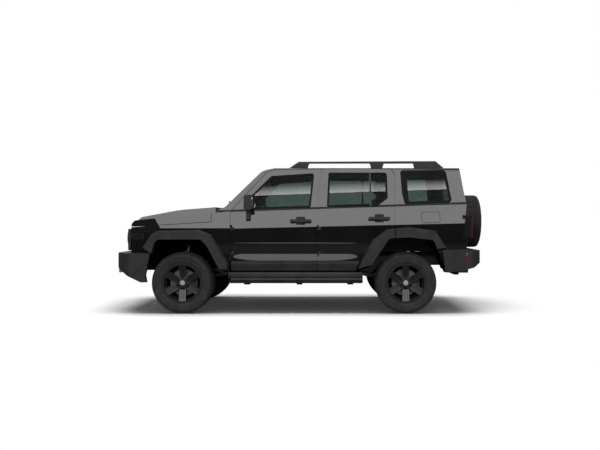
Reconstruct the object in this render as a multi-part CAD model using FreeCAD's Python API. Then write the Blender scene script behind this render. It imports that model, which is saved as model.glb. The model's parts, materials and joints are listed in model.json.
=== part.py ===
"""Off-road 4x4 with five doors on a ladder frame, built as separate pieces.

The car stands on level ground. Its nose points to -X, its left side to -Y and
its roof to +Z. The origin lies on the ground at the middle of its outer box.
"""
import FreeCAD, Part
import math
import os
from FreeCAD import Vector

# Driving dimensions of the whole car, in millimetres
front_overhang = 920
wheelbase = 2750
rear_overhang = 1070
track = 1608
half_width = 965
panel_gap = 6
swing_gap = 9
seat_gap = 0.3

# Wheels and tyres
tyre_radius = 376
tyre_width = 265
bead_radius = 232
rim_flange_radius = 245
rim_width = 216
rim_wall = 9
wheel_offset = 38
spoke_count = 6
spoke_width_hub = 74
spoke_width_rim = 88
hub_pad_radius = 86
stud_circle_radius = 69.85
stud_count = 6
disc_radius = 165
disc_thickness = 26
caliper_gap = 5
spindle_radius = 30
spare_radius = 352
spare_width = 235

# Heights above the ground
sill_height = 500
door_bottom = 519
cladding_top = 640
crease_height = 1037
belt_height = 1262
door_top = 1785
roof_edge_height = 1822
roof_crown_height = 1842
floor_height = 640
floor_thickness = 50
load_floor_height = 800
rail_top_height = 1903
bumper_top = 740
bumper_clearance = 3

# Body side, measured out from the centre plane
skin_half = 902
waist_half = 886
belt_half = 866
glass_half = 850
side_rise = 0.033
glasshouse_lean = 0.285
cabin_half = 785

# Walls
skin_thickness = 20
skin_seat = 26
frame_wall = 45
glass_depth = 7
glass_thickness = 5
tailgate_wall = 70

# Stations along the car, from the axles
axle_to_front_door = 590
axle_to_pillar = 1658
door_to_rear_axle = 138
axle_to_tail = 775
axle_to_nose = 674
axle_to_firewall = 500

# The tunnel over the gearbox
tunnel_half = 170
tunnel_top = 745
tunnel_end_x = 120

# Steering
kingpin_inset = 60
kingpin_half_height = 150

front_axle_x = front_overhang - (front_overhang + wheelbase + rear_overhang) / 2
rear_axle_x = front_axle_x + wheelbase
front_face_x = front_axle_x - front_overhang
rear_face_x = rear_axle_x + rear_overhang
hub_z = tyre_radius
wheel_y = track / 2
kingpin_y = wheel_y - kingpin_inset
front_seam_x = front_axle_x + axle_to_front_door
pillar_x = front_axle_x + axle_to_pillar
rear_seam_x = rear_axle_x - door_to_rear_axle
tail_x = rear_axle_x + axle_to_tail
nose_x = front_axle_x - axle_to_nose
firewall_x = front_axle_x + axle_to_firewall
far = 1300


def offset_outline(corners, distance):
    """Move each side of an outline out by a distance, or in where it is negative."""
    count = len(corners)
    corners = [(c[0], c[1], c[2] if len(c) > 2 else 0) for c in corners]
    area = 0
    for i in range(count):
        after = corners[(i + 1) % count]
        area += corners[i][0] * after[1] - after[0] * corners[i][1]
    turn = 1.0 if area > 0 else -1.0
    moves = list(distance) if isinstance(distance, (list, tuple)) else [distance] * count
    lines = []
    for i in range(count):
        x0, y0, _ = corners[i]
        x1, y1, _ = corners[(i + 1) % count]
        length = math.hypot(x1 - x0, y1 - y0)
        u, v = (x1 - x0) / length, (y1 - y0) / length
        lines.append((x0 + turn * v * moves[i], y0 - turn * u * moves[i], u, v))
    result = []
    for i in range(count):
        px, py, pu, pv = lines[i - 1]
        qx, qy, qu, qv = lines[i]
        cross = pu * qv - pv * qu
        reach = ((qx - px) * qv - (qy - py) * qu) / cross
        radius = corners[i][2]
        if radius:
            grow = moves[i] if turn * cross > 0 else -moves[i]
            radius = max(radius + grow, 1.0)
        result.append((px + pu * reach, py + pv * reach, radius))
    return result


def rounded_wire(corners, place):
    """A closed wire through the corners, each with its own radius."""
    count = len(corners)
    corners = [(c[0], c[1], c[2] if len(c) > 2 else 0) for c in corners]
    ends = []
    for i in range(count):
        px, py, _ = corners[i - 1]
        cx, cy, radius = corners[i]
        nx, ny, _ = corners[(i + 1) % count]
        if radius <= 0:
            ends.append(((cx, cy), None, (cx, cy)))
            continue
        u = Vector(px - cx, py - cy, 0).normalize()
        v = Vector(nx - cx, ny - cy, 0).normalize()
        half = u.getAngle(v) / 2
        back = radius / math.tan(half)
        middle = (u + v).normalize()
        depth = radius / math.sin(half) - radius
        start = (cx + u.x * back, cy + u.y * back)
        end = (cx + v.x * back, cy + v.y * back)
        ends.append((start, (cx + middle.x * depth, cy + middle.y * depth), end))
    edges = []
    for i in range(count):
        start, middle, end = ends[i]
        if middle:
            edges.append(Part.Arc(place(*start), place(*middle), place(*end)).toShape())
        following = ends[(i + 1) % count][0]
        if math.hypot(following[0] - end[0], following[1] - end[1]) > 1e-6:
            edges.append(Part.LineSegment(place(*end), place(*following)).toShape())
    return Part.Wire(edges)


def prism_x(corners, x0, x1, side=0.0, rise=0.0):
    """A (y, z) outline run along X, moving out and up by the given slopes."""
    wire = rounded_wire(corners, lambda y, z: Vector(x0, y, z))
    run = x1 - x0
    return Part.Face(wire).extrude(Vector(run, run * side, run * rise))


def prism_y(corners, y0, y1):
    """An (x, z) outline run along Y."""
    wire = rounded_wire(corners, lambda x, z: Vector(x, y0, z))
    return Part.Face(wire).extrude(Vector(0, y1 - y0, 0))


def prism_z(corners, z0, z1):
    """An (x, y) outline run along Z."""
    wire = rounded_wire(corners, lambda x, y: Vector(x, y, z0))
    return Part.Face(wire).extrude(Vector(0, 0, z1 - z0))


def drafted_y(corners, inset, y0, y1):
    """An (x, z) outline run along Y, its sides drawn in by the inset at the end."""
    corners = [(c[0], c[1]) for c in corners]
    start = rounded_wire(corners, lambda x, z: Vector(x, y0, z))
    end = rounded_wire([c[:2] for c in offset_outline(corners, -inset)], lambda x, z: Vector(x, y1, z))
    return Part.makeLoft([start, end], True, True)


def block(x0, x1, y0, y1, z0, z1):
    return Part.makeBox(x1 - x0, y1 - y0, z1 - z0, Vector(x0, y0, z0))


def rod(start, end, radius):
    run = Vector(*end) - Vector(*start)
    return Part.makeCylinder(radius, run.Length, Vector(*start), run)


def turned_y(profile, x, y, z):
    """A (radius, across) profile turned about a line along Y through x, z."""
    points = [Vector(x + r, y + across, z) for r, across in profile]
    face = Part.Face(Part.makePolygon(points + points[:1]))
    return face.revolve(Vector(x, y, z), Vector(0, 1, 0), 360)


def mirrored(shape):
    return shape.mirror(Vector(0, 0, 0), Vector(0, 1, 0))


def both_sides(shape):
    return [shape, mirrored(shape)]


def joined(*shapes):
    result = shapes[0]
    if len(shapes) > 1:
        result = result.fuse(list(shapes[1:]))
    return result.removeSplitter()


def overlap(first, *others):
    for other in others:
        first = first.common(other)
    return first


def save(name, *shapes):
    solids = [solid for shape in shapes for solid in shape.Solids]
    shape = solids[0] if len(solids) == 1 else Part.makeCompound(solids)
    if not all(solid.isValid() for solid in solids):
        print("not valid:", name)
    shape.exportStep("parts/" + name + ".step")
    made[name] = shape


made = {}

# Outlines of the body in side view, as (x, z, radius)


def rise_at(x):
    """How far the belt and crease have climbed at a station."""
    return (x - front_seam_x) * side_rise


def front_arch():
    x = front_axle_x
    z = hub_z
    return [(x - 455, 0), (x - 455, z + 100), (x - 330, z + 503, 60), (x - 285, z + 536, 40),
            (x + 232, z + 538, 60), (x + 309, z + 457, 60), (x + 560, z - 17), (x + 560, 0)]


def rear_arch():
    x = rear_axle_x
    z = hub_z
    return [(x - 530, 0), (x - 530, z + 20), (x - 427, z + 224), (x - 208, z + 551, 60),
            (x + 42, z + 562), (x + 337, z + 528, 60), (x + 485, z + 131), (x + 500, 0)]


def front_flare_outline():
    x = front_axle_x
    z = hub_z
    return [(x - 395, z + 345), (x - 508, z + 426), (x - 396, z + 605), (x - 292, z + 657),
            (x + 215, z + 668), (x + 363, z + 605), (front_seam_x - panel_gap, z + 245),
            (front_seam_x - panel_gap, door_bottom), (x + 300, door_bottom)]


def rear_flare_outline():
    x = rear_axle_x
    z = hub_z
    return [(x - 611, door_bottom), (x - 611, z + 191), (x - 423, z + 535), (x - 235, z + 676),
            (x + 49, z + 700), (x + 377, z + 653), (x + 525, z + 417), (x + 460, door_bottom + 260),
            (x + 100, door_bottom + 200)]


def front_door_outline():
    seam = front_seam_x
    return [(seam, door_bottom, 12), (seam, belt_height - 12), (seam + 100, belt_height + 113, 40),
            (seam + 435, door_top - 40, 30), (seam + 520, door_top - 7, 80), (pillar_x + 54, door_top + 5, 4),
            (pillar_x - 1, belt_height + 46), (pillar_x - 6, door_bottom, 12)]


def rear_door_outline():
    x = rear_axle_x
    z = hub_z
    gap = panel_gap
    return [(pillar_x - 6 + gap, door_bottom, 12), (pillar_x - 1 + gap, belt_height + 46),
            (pillar_x + 54 + swing_gap, door_top + 5, 4),
            (rear_seam_x - 30, door_top + 14, 30), (rear_seam_x + 10, door_top - 62, 40),
            (rear_seam_x, belt_height - 19), (rear_seam_x - 2, z + 545), (x - 208, z + 551, 40),
            (x - 427, z + 224), (x - 483, door_bottom, 12)]


def front_window_outline():
    seam = front_seam_x
    return [(seam + 175, belt_height + 16, 20), (seam + 987, belt_height + 42, 25),
            (seam + 1032, door_top - 47, 30), (seam + 492, door_top - 82, 50),
            (seam + 190, belt_height + 130, 20)]


def rear_window_outline():
    return [(pillar_x + 119, belt_height + 51, 20), (rear_seam_x - 212, belt_height + 56, 25),
            (rear_seam_x - 77, belt_height + 159, 30), (rear_seam_x - 80, door_top - 39, 40),
            (pillar_x + 141, door_top - 39, 25)]


def rear_window_bar():
    """The bar between a rear door's sliding pane and its fixed corner pane."""
    z0, z1 = belt_height + 56, door_top - 39 - seat_gap
    return [(rear_seam_x - 303, z0), (rear_seam_x - 281, z0), (rear_seam_x - 283, z1),
            (rear_seam_x - 305, z1)]


def quarter_window_outline():
    x = rear_axle_x
    return [(x + 20, belt_height + 90, 35), (x + 544, belt_height + 108, 30),
            (x + 570, belt_height + 148, 30),
            (x + 509, door_top - 20, 40), (x - 1, door_top - 20, 35)]


def fuel_flap_outline():
    x = rear_axle_x
    return [(x + 200, crease_height + 80, 20), (x + 420, crease_height + 86, 20),
            (x + 416, crease_height + 212, 20), (x + 196, crease_height + 206, 20)]


def roof_profile():
    """The body in side view, from the firewall over the roof to the tail."""
    seam = front_seam_x
    return [(firewall_x - 60, sill_height - 20), (firewall_x - 60, belt_height + 20),
            (seam - 75, belt_height + 48), (seam + 380, roof_edge_height - 50, 200),
            (seam + 700, roof_crown_height - 4, 900), (tail_x - 88, roof_crown_height - 2, 45),
            (tail_x - 45, belt_height + 238, 300), (tail_x, belt_height - 40, 200),
            (tail_x + 3, 900, 100), (tail_x - 30, 760), (tail_x - 90, sill_height - 20)]


def lower_side():
    return [(-far, sill_height), (840, sill_height), (skin_half - 8, sill_height + 75),
            (skin_half, cladding_top + 10, 20), (skin_half, 735, 30), (waist_half, 850, 200),
            (skin_half - 2, crease_height + 13), (skin_half + 60, 1900), (skin_half + 60, 2100), (-far, 2100)]


def upper_side():
    drop = crease_height - 300
    lean = (skin_half - belt_half) / (belt_height - crease_height)
    top = belt_height + 12
    return [(-far, 300), (skin_half + drop * lean, 300), (belt_half, belt_height - 10, 30),
            (glass_half, top, 12),
            (glass_half - glasshouse_lean * (2300 - top), 2300), (-far, 2300)]


def body_solid(inset):
    """The closed outer form of the body, drawn in all round by an inset."""
    x0 = firewall_x - 200
    run = side_rise * (x0 - front_seam_x)
    upper = [(y, z + run) + tuple(rest) for y, z, *rest in upper_side()]
    end = tail_x + 300
    solid = prism_y(offset_outline(roof_profile(), -inset), -far, far)
    solid = solid.common(prism_x(offset_outline(lower_side(), -inset), x0, end))
    solid = solid.common(mirrored(prism_x(offset_outline(lower_side(), -inset), x0, end)))
    solid = solid.common(prism_x(offset_outline(upper, -inset), x0, end, 0, side_rise))
    solid = solid.common(mirrored(prism_x(offset_outline(upper, -inset), x0, end, 0, side_rise)))
    side = skin_half + 40 - inset
    plan = [(x0, -side), (x0, side), (tail_x + 8 - inset, side, 170), (tail_x + 8 - inset, -side, 170)]
    solid = solid.common(prism_z(plan, 0, 2200))
    cap = prism_x(offset_outline(roof_cap(), -inset), x0, end)
    return solid.common(cap)


def roof_cap():
    """The rounded roof section that trims the top of both sides."""
    edge = glass_half - glasshouse_lean * (roof_edge_height - belt_height) + 60
    return [(-far, 200), (-far, 1500), (-edge - 40, 1700), (-edge + 40, roof_edge_height - 18, 60),
            (0, roof_crown_height + 6, 4000), (edge - 40, roof_edge_height - 18, 60), (edge + 40, 1700),
            (far, 1500), (far, 200)]


# The nose, wings and bonnet
hood_rear_x = front_axle_x + 351
shut_line_front = 1063
shut_line_rear = 1142
hood_front_height = 1145
dome_half = 520
dome_height = 45
hood_wall = 28
apron_half = 520
hood_hinge_height = 1306
hood_hinge_setback = 14


def front_profile():
    seam = front_seam_x - panel_gap
    return [(nose_x, 745), (nose_x, 1050, 10), (nose_x + 14, 1100, 40), (nose_x + 60, hood_front_height, 60),
            (seam, belt_height - 4), (seam, door_bottom), (nose_x + 300, door_bottom)]


def front_side():
    lean = (skin_half - belt_half) / (belt_height - crease_height)
    top = 1700
    return [(-far, 300), (skin_half + (crease_height - 300) * lean, 300),
            (skin_half - (top - crease_height) * lean, top), (-far, top)]


def front_solid(inset):
    """The closed outer form of the wings and the flat of the bonnet."""
    x0 = nose_x - 100
    x1 = front_seam_x + 50
    lower = offset_outline(lower_side(), -inset)
    side = offset_outline(front_side(), -inset)
    solid = prism_y(offset_outline(front_profile(), -inset), -far, far)
    solid = overlap(solid, prism_x(lower, x0, x1), mirrored(prism_x(lower, x0, x1)))
    solid = overlap(solid, prism_x(side, x0, x1), mirrored(prism_x(side, x0, x1)))
    wide = skin_half + 30
    plan = [(nose_x, -790, 90), (nose_x, 790, 90), (nose_x + 520, wide), (x1 + 50, wide),
            (x1 + 50, -wide), (nose_x + 520, -wide)]
    return solid.common(prism_z(offset_outline(plan, -inset), 0, 2000))


def dome_solid(inset):
    """The raised middle of the bonnet."""
    x = front_axle_x
    profile = [(nose_x + 20, 1000), (nose_x + 20, hood_front_height - 10, 20), (nose_x + 70, 1188, 80),
               (x - 110, 1281, 1500), (hood_rear_x - panel_gap / 2, 1316),
               (hood_rear_x - panel_gap / 2, 1000)]
    section = [(-dome_half - 45, 1000), (-dome_half, 1230), (-dome_half + 70, 1500), (dome_half - 70, 1500),
               (dome_half, 1230), (dome_half + 45, 1000)]
    solid = prism_y(offset_outline(profile, -inset), -far, far)
    return solid.common(prism_x(offset_outline(section, -inset), nose_x - 100, hood_rear_x))


def hood_zone(gap):
    """Everything above the bonnet's shut line and ahead of its rear edge."""
    rise = (shut_line_rear - shut_line_front) / (front_seam_x - nose_x)
    end = hood_rear_x - gap
    return [(nose_x - 200, shut_line_front + gap - 200 * rise),
            (end, shut_line_front + gap + (end - nose_x) * rise),
            (end, 1600), (nose_x - 200, 1600)]


def build_front():
    outer = front_solid(0)
    zone = prism_y(hood_zone(panel_gap / 2), -far, far)
    hood = outer.common(zone).fuse(dome_solid(0).common(zone))
    inner = front_solid(hood_wall).fuse(dome_solid(hood_wall))
    save("bonnet", hood.cut(inner).removeSplitter())
    bay = block(nose_x - 50, firewall_x - 55, -apron_half, apron_half, 300, 1700)
    arch = prism_y(offset_outline(front_arch(), 10 + seat_gap), -far, far)
    wings = outer.cut(prism_y(hood_zone(-panel_gap / 2), -far, far)).cut(bay).cut(arch).cut(bumper_room())
    behind = block(firewall_x - 61, front_seam_x + 60, -cabin_half, cabin_half, 300, 1700)
    save("front_wings", wings.cut(behind))


def build_cowl():
    top = belt_height + 24
    x0 = hood_rear_x + panel_gap / 2
    x1 = firewall_x - 61
    tray = prism_y([(x0, top - 150), (x0, top, 8), (x1, top + 12), (x1, top - 150)], -apron_half, apron_half)
    wipers = []
    base = wiper_points()
    for y in (-330, 250):
        pivot, tip = base(y), base(y - 400)
        wipers.append(rod(pivot, tip, 7))
        wipers.append(rod((pivot[0], pivot[1], pivot[2] - 50), (pivot[0], pivot[1], pivot[2] + 6), 13))
    body = body_solid(0)
    arms = [wipers[i].fuse(wipers[i + 1]).cut(body).removeSplitter() for i in (0, 2)]
    hinges, bonnet_leaves = bonnet_hinges()
    save("cowl", joined(tray, *hinges), *[max(arm.Solids, key=lambda s: s.Volume) for arm in arms])
    save("bonnet", joined(made["bonnet"], *bonnet_leaves))


def bonnet_hinges():
    """The barrels behind the bonnet's rear edge: those on the cowl, and those on it."""
    x = hood_rear_x + hood_hinge_setback
    z = hood_hinge_height
    fixed, moving = [], []
    for y in (-420, 420):
        pin = rod((x, y - 30, z), (x, y + 30, z), 4)
        fixed.append(pin)
        for side in (-1, 1):
            fixed.append(rod((x, y + side * 15, z), (x, y + side * 30, z), 7))
            fixed.append(block(x - 7, x + 7, min(y + side * 15, y + side * 30),
                               max(y + side * 15, y + side * 30), z - 30, z))
        leaf = rod((x, y - 14.7, z), (x, y + 14.7, z),
                   7).fuse(block(hood_rear_x - 5, x, y - 14.7, y + 14.7, z - 4, z + 4))
        moving.append(leaf.cut(rod((x, y - 30, z), (x, y + 30, z), 4 + seat_gap)))
    return fixed, moving


def wiper_points():
    """A point just proud of the windscreen's foot for each place across the car."""
    def place(y):
        lift = 60 if y < -400 or -200 < y < 0 else 12
        x = front_seam_x - 70 + lift * 0.85
        return (x - 14, y, belt_height + 62 + lift)
    return place


# The body with its doors, windows and tailgate

flap_gap = 5
flap_wall = 6
flap_pin_setback = 30
flap_pin_depth = 13
flap_pin_radius = 3
front_door_insets = [45, 35, 22, 20, 20, 40, 40, 90]
front_frame_gaps = [6, 6, 6, 6, 8, 18, 16, 8]
rear_door_insets = [40, 40, 20, 25, 35, 35, 60, 60, 60, 90]
rear_frame_gaps = [6, 6, 8, 18, 18, 16, 16, 16, 16, 8]
front_leaf_gaps = [panel_gap] * 5 + [20, panel_gap, panel_gap]
rear_leaf_gaps = [panel_gap, panel_gap, panel_gap, swing_gap, swing_gap] + [panel_gap] * 5
door_inner_edge = 640
door_head_edge = 685
door_head_foot = door_top - 38


def left_prism(corners):
    return prism_y(corners, -far, -door_inner_edge + panel_gap)


def door_zone(gap):
    """The space of the left doors, which stops short of the roof at their heads."""
    inner, head, foot = gap - door_inner_edge, gap - door_head_edge, door_head_foot + gap
    section = [(-far, 0), (inner, 0), (inner, foot), (head, foot), (head, 2300), (-far, 2300)]
    return prism_x(section, firewall_x - 200, tail_x)


def door_core():
    """The cabin's space behind the doors, at the inside of their trim."""
    x0 = firewall_x - 200
    run = side_rise * (x0 - front_seam_x)
    side = [(-far, 300 + run), (cabin_half, 300 + run), (cabin_half, belt_height - 25 + run),
            (cabin_half + 25, belt_height + run), (cabin_half + 25, 2200 + run), (-far, 2200 + run)]
    wall = prism_x(side, x0, tail_x + 300, 0, side_rise)
    return overlap(wall, mirrored(wall))


def tailgate_outline():
    return [(-720, bumper_top + 66, 40), (-720, belt_height), (-640, door_top - 30, 60),
            (640, door_top - 30, 60),
            (720, belt_height), (720, bumper_top + 66, 40)]


def rear_glass_outline():
    return [(-600, belt_height + 90, 40), (-560, door_top - 90, 60), (560, door_top - 90, 60),
            (600, belt_height + 90, 40)]


def windscreen_frame():
    """The windscreen's plane: a corner, its two directions and its normal."""
    foot = roof_profile()[2]
    head = roof_profile()[3]
    up = Vector(head[0] - foot[0], 0, head[1] - foot[1])
    length = up.Length
    up.normalize()
    out = Vector(-up.z, 0, up.x)
    return Vector(foot[0], 0, foot[1]), Vector(0, 1, 0), up, out, length


def windscreen_prism(inset, depth0, depth1):
    """The windscreen's outline run between two depths below its plane."""
    foot, across, up, out, length = windscreen_frame()
    corners = offset_outline([(-745, 30, 70), (-640, length - 62, 60), (640, length - 62, 60),
                              (745, 30, 70)], -inset)
    origin = foot - out * depth1
    wire = rounded_wire(corners, lambda a, b: origin + across * a + up * b)
    return Part.Face(wire).extrude(out * (depth1 - depth0))


def build_body():
    outer = body_solid(0)
    skin_in = body_solid(skin_thickness)
    seat_in = body_solid(skin_seat)
    wall_in = body_solid(frame_wall)
    core = door_core().common(wall_in)
    low_core = block(firewall_x - 200, tail_x, -cabin_half, cabin_half, 0, belt_height - 200)
    panes = body_solid(glass_depth).cut(body_solid(glass_depth + glass_thickness))
    recess = outer.cut(body_solid(glass_depth + glass_thickness + seat_gap))

    doors = {"front": (front_door_outline(), front_door_insets, front_frame_gaps, front_leaf_gaps,
                       front_window_outline()),
             "rear": (rear_door_outline(), rear_door_insets, rear_frame_gaps, rear_leaf_gaps,
                      rear_window_outline())}
    openings = []
    room = door_zone(panel_gap)
    for place, (outline, insets, gaps, leaf_gap, window) in doors.items():
        inner = offset_outline(outline, [-d for d in insets])
        leaf = outer.cut(skin_in).cut(low_core).common(left_prism(outline))
        frame = skin_in.cut(core).cut(low_core).common(left_prism(inner))
        door = leaf.fuse(frame).common(door_zone(0))
        door = door.cut(recess.common(left_prism(window)))
        door = door.cut(left_prism(offset_outline(window, -14)))
        pane = panes.common(left_prism(offset_outline(window, -1)))
        openings.append(outer.cut(seat_in).common(left_prism(offset_outline(outline, leaf_gap))).common(room))
        frame_edge = [gap - inset for gap, inset in zip(gaps, insets)]
        openings.append(left_prism(offset_outline(outline, frame_edge)).common(room))
        for side, turn in (("left", False), ("right", True)):
            shape = mirrored(door) if turn else door
            save(place + "_door_" + side, shape)
            save(place + "_door_glass_" + side, mirrored(pane) if turn else pane)

    shell = outer.cut(openings[0])
    for opening in openings[1:]:
        shell = shell.cut(opening)
    for opening in openings:
        shell = shell.cut(mirrored(opening))

    floor = [(firewall_x, floor_height), (firewall_x, 2300), (tail_x - tailgate_wall, 2300),
             (tail_x - tailgate_wall, load_floor_height), (rear_axle_x - 380, load_floor_height),
             (rear_axle_x - 430, floor_height)]
    arch = rear_arch()
    wheelhouse = prism_y(offset_outline(arch, 45), -far, -600)
    cabin = core.common(prism_y(floor, -far, far)).cut(wheelhouse).cut(mirrored(wheelhouse))
    cabin = cabin.cut(block(firewall_x - 10, tunnel_end_x + 30, -tunnel_half - 30, tunnel_half + 30, 0,
                            tunnel_top + 30))
    shell = shell.cut(cabin)
    under = [(firewall_x - 200, 300), (firewall_x - 200, floor_height - floor_thickness),
             (rear_axle_x - 440, floor_height - floor_thickness),
             (rear_axle_x - 390, load_floor_height - floor_thickness),
             (tail_x + 100, load_floor_height - floor_thickness), (tail_x + 100, 300)]
    shell = shell.cut(prism_y(under, -690, 690))
    shell = shell.cut(block(firewall_x - 200, tunnel_end_x, -tunnel_half, tunnel_half, 300, tunnel_top))
    space = prism_y(offset_outline(arch, 10 + seat_gap), -far, -620)
    shell = shell.cut(space).cut(mirrored(space))

    window = quarter_window_outline()
    for turn in (False, True):
        cuts = [recess.common(left_prism(window)), left_prism(offset_outline(window, -14))]
        for cut in cuts:
            shell = shell.cut(mirrored(cut) if turn else cut)
    pane = panes.common(left_prism(offset_outline(window, -1)))
    fixed_glass = [pane, mirrored(pane)]

    shell = shell.cut(windscreen_prism(0, -40, glass_depth + glass_thickness + seat_gap))
    shell = shell.cut(windscreen_prism(22, -40, 160))
    fixed_glass.append(windscreen_prism(1, glass_depth, glass_depth + glass_thickness))
    save("body_glass", *fixed_glass)

    gate = prism_x(tailgate_outline(), tail_x - 330, tail_x + 200)
    inside = prism_y(offset_outline(roof_profile(), -tailgate_wall), -far, far)
    leaf = outer.common(gate).cut(inside)
    shell = shell.cut(prism_x(offset_outline(tailgate_outline(), panel_gap), tail_x - 330, tail_x + 200))
    rear_glass = prism_x(rear_glass_outline(), tail_x - 330, tail_x + 200)
    leaf = leaf.cut(recess.common(rear_glass))
    leaf = leaf.cut(prism_x(offset_outline(rear_glass_outline(), -14), tail_x - 330, tail_x + 200))
    back = prism_x(offset_outline(rear_glass_outline(), -1), tail_x - 330, tail_x + 200)
    save("tailgate", leaf)
    save("tailgate_glass", panes.common(back))

    flap = outer.cut(body_solid(flap_wall))
    lid = flap.common(left_prism(fuel_flap_outline()))
    pocket = outer.cut(body_solid(60)).common(left_prism(offset_outline(fuel_flap_outline(), flap_gap)))
    shell = shell.cut(pocket)
    pin, lugs, knuckles, bore = fuel_flap_hinge()
    save("fuel_flap", joined(lid, *knuckles).cut(bore))
    seam = front_seam_x - panel_gap + seat_gap
    for corner in both_sides(block(firewall_x - 200, seam, cabin_half - seat_gap, far, 0,
                                   belt_height - 4 + seat_gap)):
        shell = shell.cut(corner)
    shell = shell.cut(prism_y(offset_outline(front_arch(), liner_thickness + seat_gap), -far, far))
    shell = joined(max(shell.Solids, key=lambda solid: solid.Volume), pin, *lugs)
    save("body_shell", shell)


def fuel_flap_hinge():
    """The flap's pin in its pocket, the lugs that hold it and the flap's knuckles."""
    low, high, out = fuel_flap_axis()
    run = (high - low).normalize()
    inward = out * -1
    pin = rod(low, high, flap_pin_radius)
    lugs, knuckles = [], []
    length = (high - low).Length
    for start, end, group, radius in ((0, 12, lugs, 4.5), (length - 12, length, lugs, 4.5),
                                      (16, 32, knuckles, 6), (length - 32, length - 16, knuckles, 6)):
        foot = low + run * start
        barrel = rod(foot, low + run * end, radius)
        reach = inward * 50 if group is lugs else out * (flap_pin_depth - 4)
        side = Vector(radius - 1, 0, 0)
        strut = Part.makePolygon([foot - side, foot + side, foot + side + reach, foot - side + reach,
                                  foot - side])
        strut = Part.Face(strut).extrude(run * (end - start))
        group.append(barrel.fuse(strut))
    bore = rod(low - run * 5, high + run * 5, flap_pin_radius + seat_gap)
    return pin, lugs, knuckles, bore


def fuel_flap_axis():
    """The two ends of the flap's pin, and the direction out of the skin there."""
    ends = []
    lean = (skin_half - belt_half) / (belt_height - crease_height)
    out = Vector(0, -1, lean).normalize()
    front = fuel_flap_outline()[0][0] + flap_pin_setback
    for z in (crease_height + 106, crease_height + 188):
        y = skin_half - lean * (z - rise_at(front) - crease_height)
        ends.append(Vector(front, -y, z) - out * flap_pin_depth)
    return ends[0], ends[1], out


# Flares and liners over the wheels

flare_draft = 30
liner_thickness = 10
liner_edge = 838


def bumper_room():
    """The space of the front bumper's ends, which the wings and flares stay out of."""
    return block(-3000, front_axle_x - 380, -far, far, -100, bumper_top + bumper_clearance)


def build_flares():
    body = body_solid(0)
    front = front_solid(0)
    flares = []
    trims = []
    for outline, arch, skin in ((front_flare_outline(), front_arch(), front),
                                (rear_flare_outline(), rear_arch(), body)):
        ring = drafted_y(outline, flare_draft, waist_half - 40, half_width)
        ring = ring.cut(prism_y(arch, -far, far)).cut(skin).cut(bumper_room())
        flares.append(ring)
    split = rear_seam_x + panel_gap / 2
    door_part = flares[1].common(block(pillar_x, split, -far, far, 0, 1500))
    door_part = door_part.cut(block(split - panel_gap, split + 1, -far, far, 0, 1500))
    body_part = flares[1].cut(block(pillar_x, split + panel_gap / 2, -far, far, 0, 1500))
    for part in (flares[0], body_part):
        trims += both_sides(part)
    save("arch_flares", *trims)
    return mirrored(door_part)


def build_liners():
    liners = []
    for arch, inner in ((front_arch(), apron_half - 40), (rear_arch(), 630)):
        ring = prism_y(offset_outline(arch, liner_thickness), inner, liner_edge)
        ring = ring.cut(prism_y(arch, 0, far)).cut(block(-3000, 3000, 0, far, -50, door_bottom + 20))
        ring = ring.cut(bumper_room())
        liners += both_sides(ring)
    save("arch_liners", *liners)


# The two bumpers

bumper_wall = 70
tow_hook_y = 446.3
receiver_size = 72
receiver_bore = 51
receiver_height = 470


def build_front_bumper():
    x = front_face_x
    back = front_axle_x - 396
    plan = [(x, -460, 60), (x, 460, 60), (x + 85, 720, 60), (x + 250, half_width - 30, 70),
            (back, half_width - 30),
            (back, -half_width + 30), (x + 250, -half_width + 30, 70), (x + 85, -720, 60)]
    side = [(x - 20, 560), (x - 20, bumper_top - 17), (x + 60, bumper_top, 30), (back, bumper_top),
            (back - 56, 470), (back - 40, 385), (back - 110, 385), (x + 92, 540)]
    shell = prism_z(plan, 300, 900).common(prism_y(side, -far, far))
    hollow = [(x + bumper_wall, -480, 30), (x + bumper_wall, 480, 30), (x + 150, 700, 30),
              (x + 290, half_width - 30 - bumper_wall, 40), (back + 50, half_width - 30 - bumper_wall),
              (back + 50, -half_width + 30 + bumper_wall), (x + 290, -half_width + 30 + bumper_wall, 40),
              (x + 150, -700, 30)]
    shell = shell.cut(prism_z(hollow, 300, bumper_top - 30))
    mouth = [(-360, 590, 20), (-390, 680, 20), (390, 680, 20), (360, 590, 20)]
    intake = prism_x(mouth, x - 50, x + bumper_wall + 30)
    shell = shell.cut(intake)
    shell = shell.cut(block(nose_x - 33, back + 100, -apron_half - 10, apron_half + 10, bumper_top - 40,
                            bumper_top + 10))
    for side_y in (-640, 640):
        pocket = rod((x - 50, side_y, 632), (x + 120, side_y, 632), 52)
        shell = shell.cut(pocket)
    save("front_bumper", shell)
    bars = [block(x + 30, x + 50, -400, 400, z, z + 12) for z in (605, 629, 653)]
    posts = [block(x + 28, x + 52, y - 6, y + 6, 590, 680) for y in (-180, 180)]
    lower = joined(*bars, *posts, block(x + 28, x + 52, -372, 372, 590, 600))
    lower = lower.common(prism_x(offset_outline(mouth, -seat_gap), x, x + 60))
    lamps = []
    for side_y in (-640, 640):
        lamps.append(rod((x + 78, side_y, 632), (x + 118, side_y, 632), 51.7))
    hooks = []
    for side_y in (-tow_hook_y, tow_hook_y):
        bar = prism_y([(x + 8, 470, 8), (x + 8, 525, 8), (x + 190, 535), (x + 190, 480)], side_y - 11,
                      side_y + 11)
        eye = rod((x + 45, side_y - 20, 502), (x + 45, side_y + 20, 502), 15)
        hooks.append(bar.cut(eye))
    return lower, lamps, hooks


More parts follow.
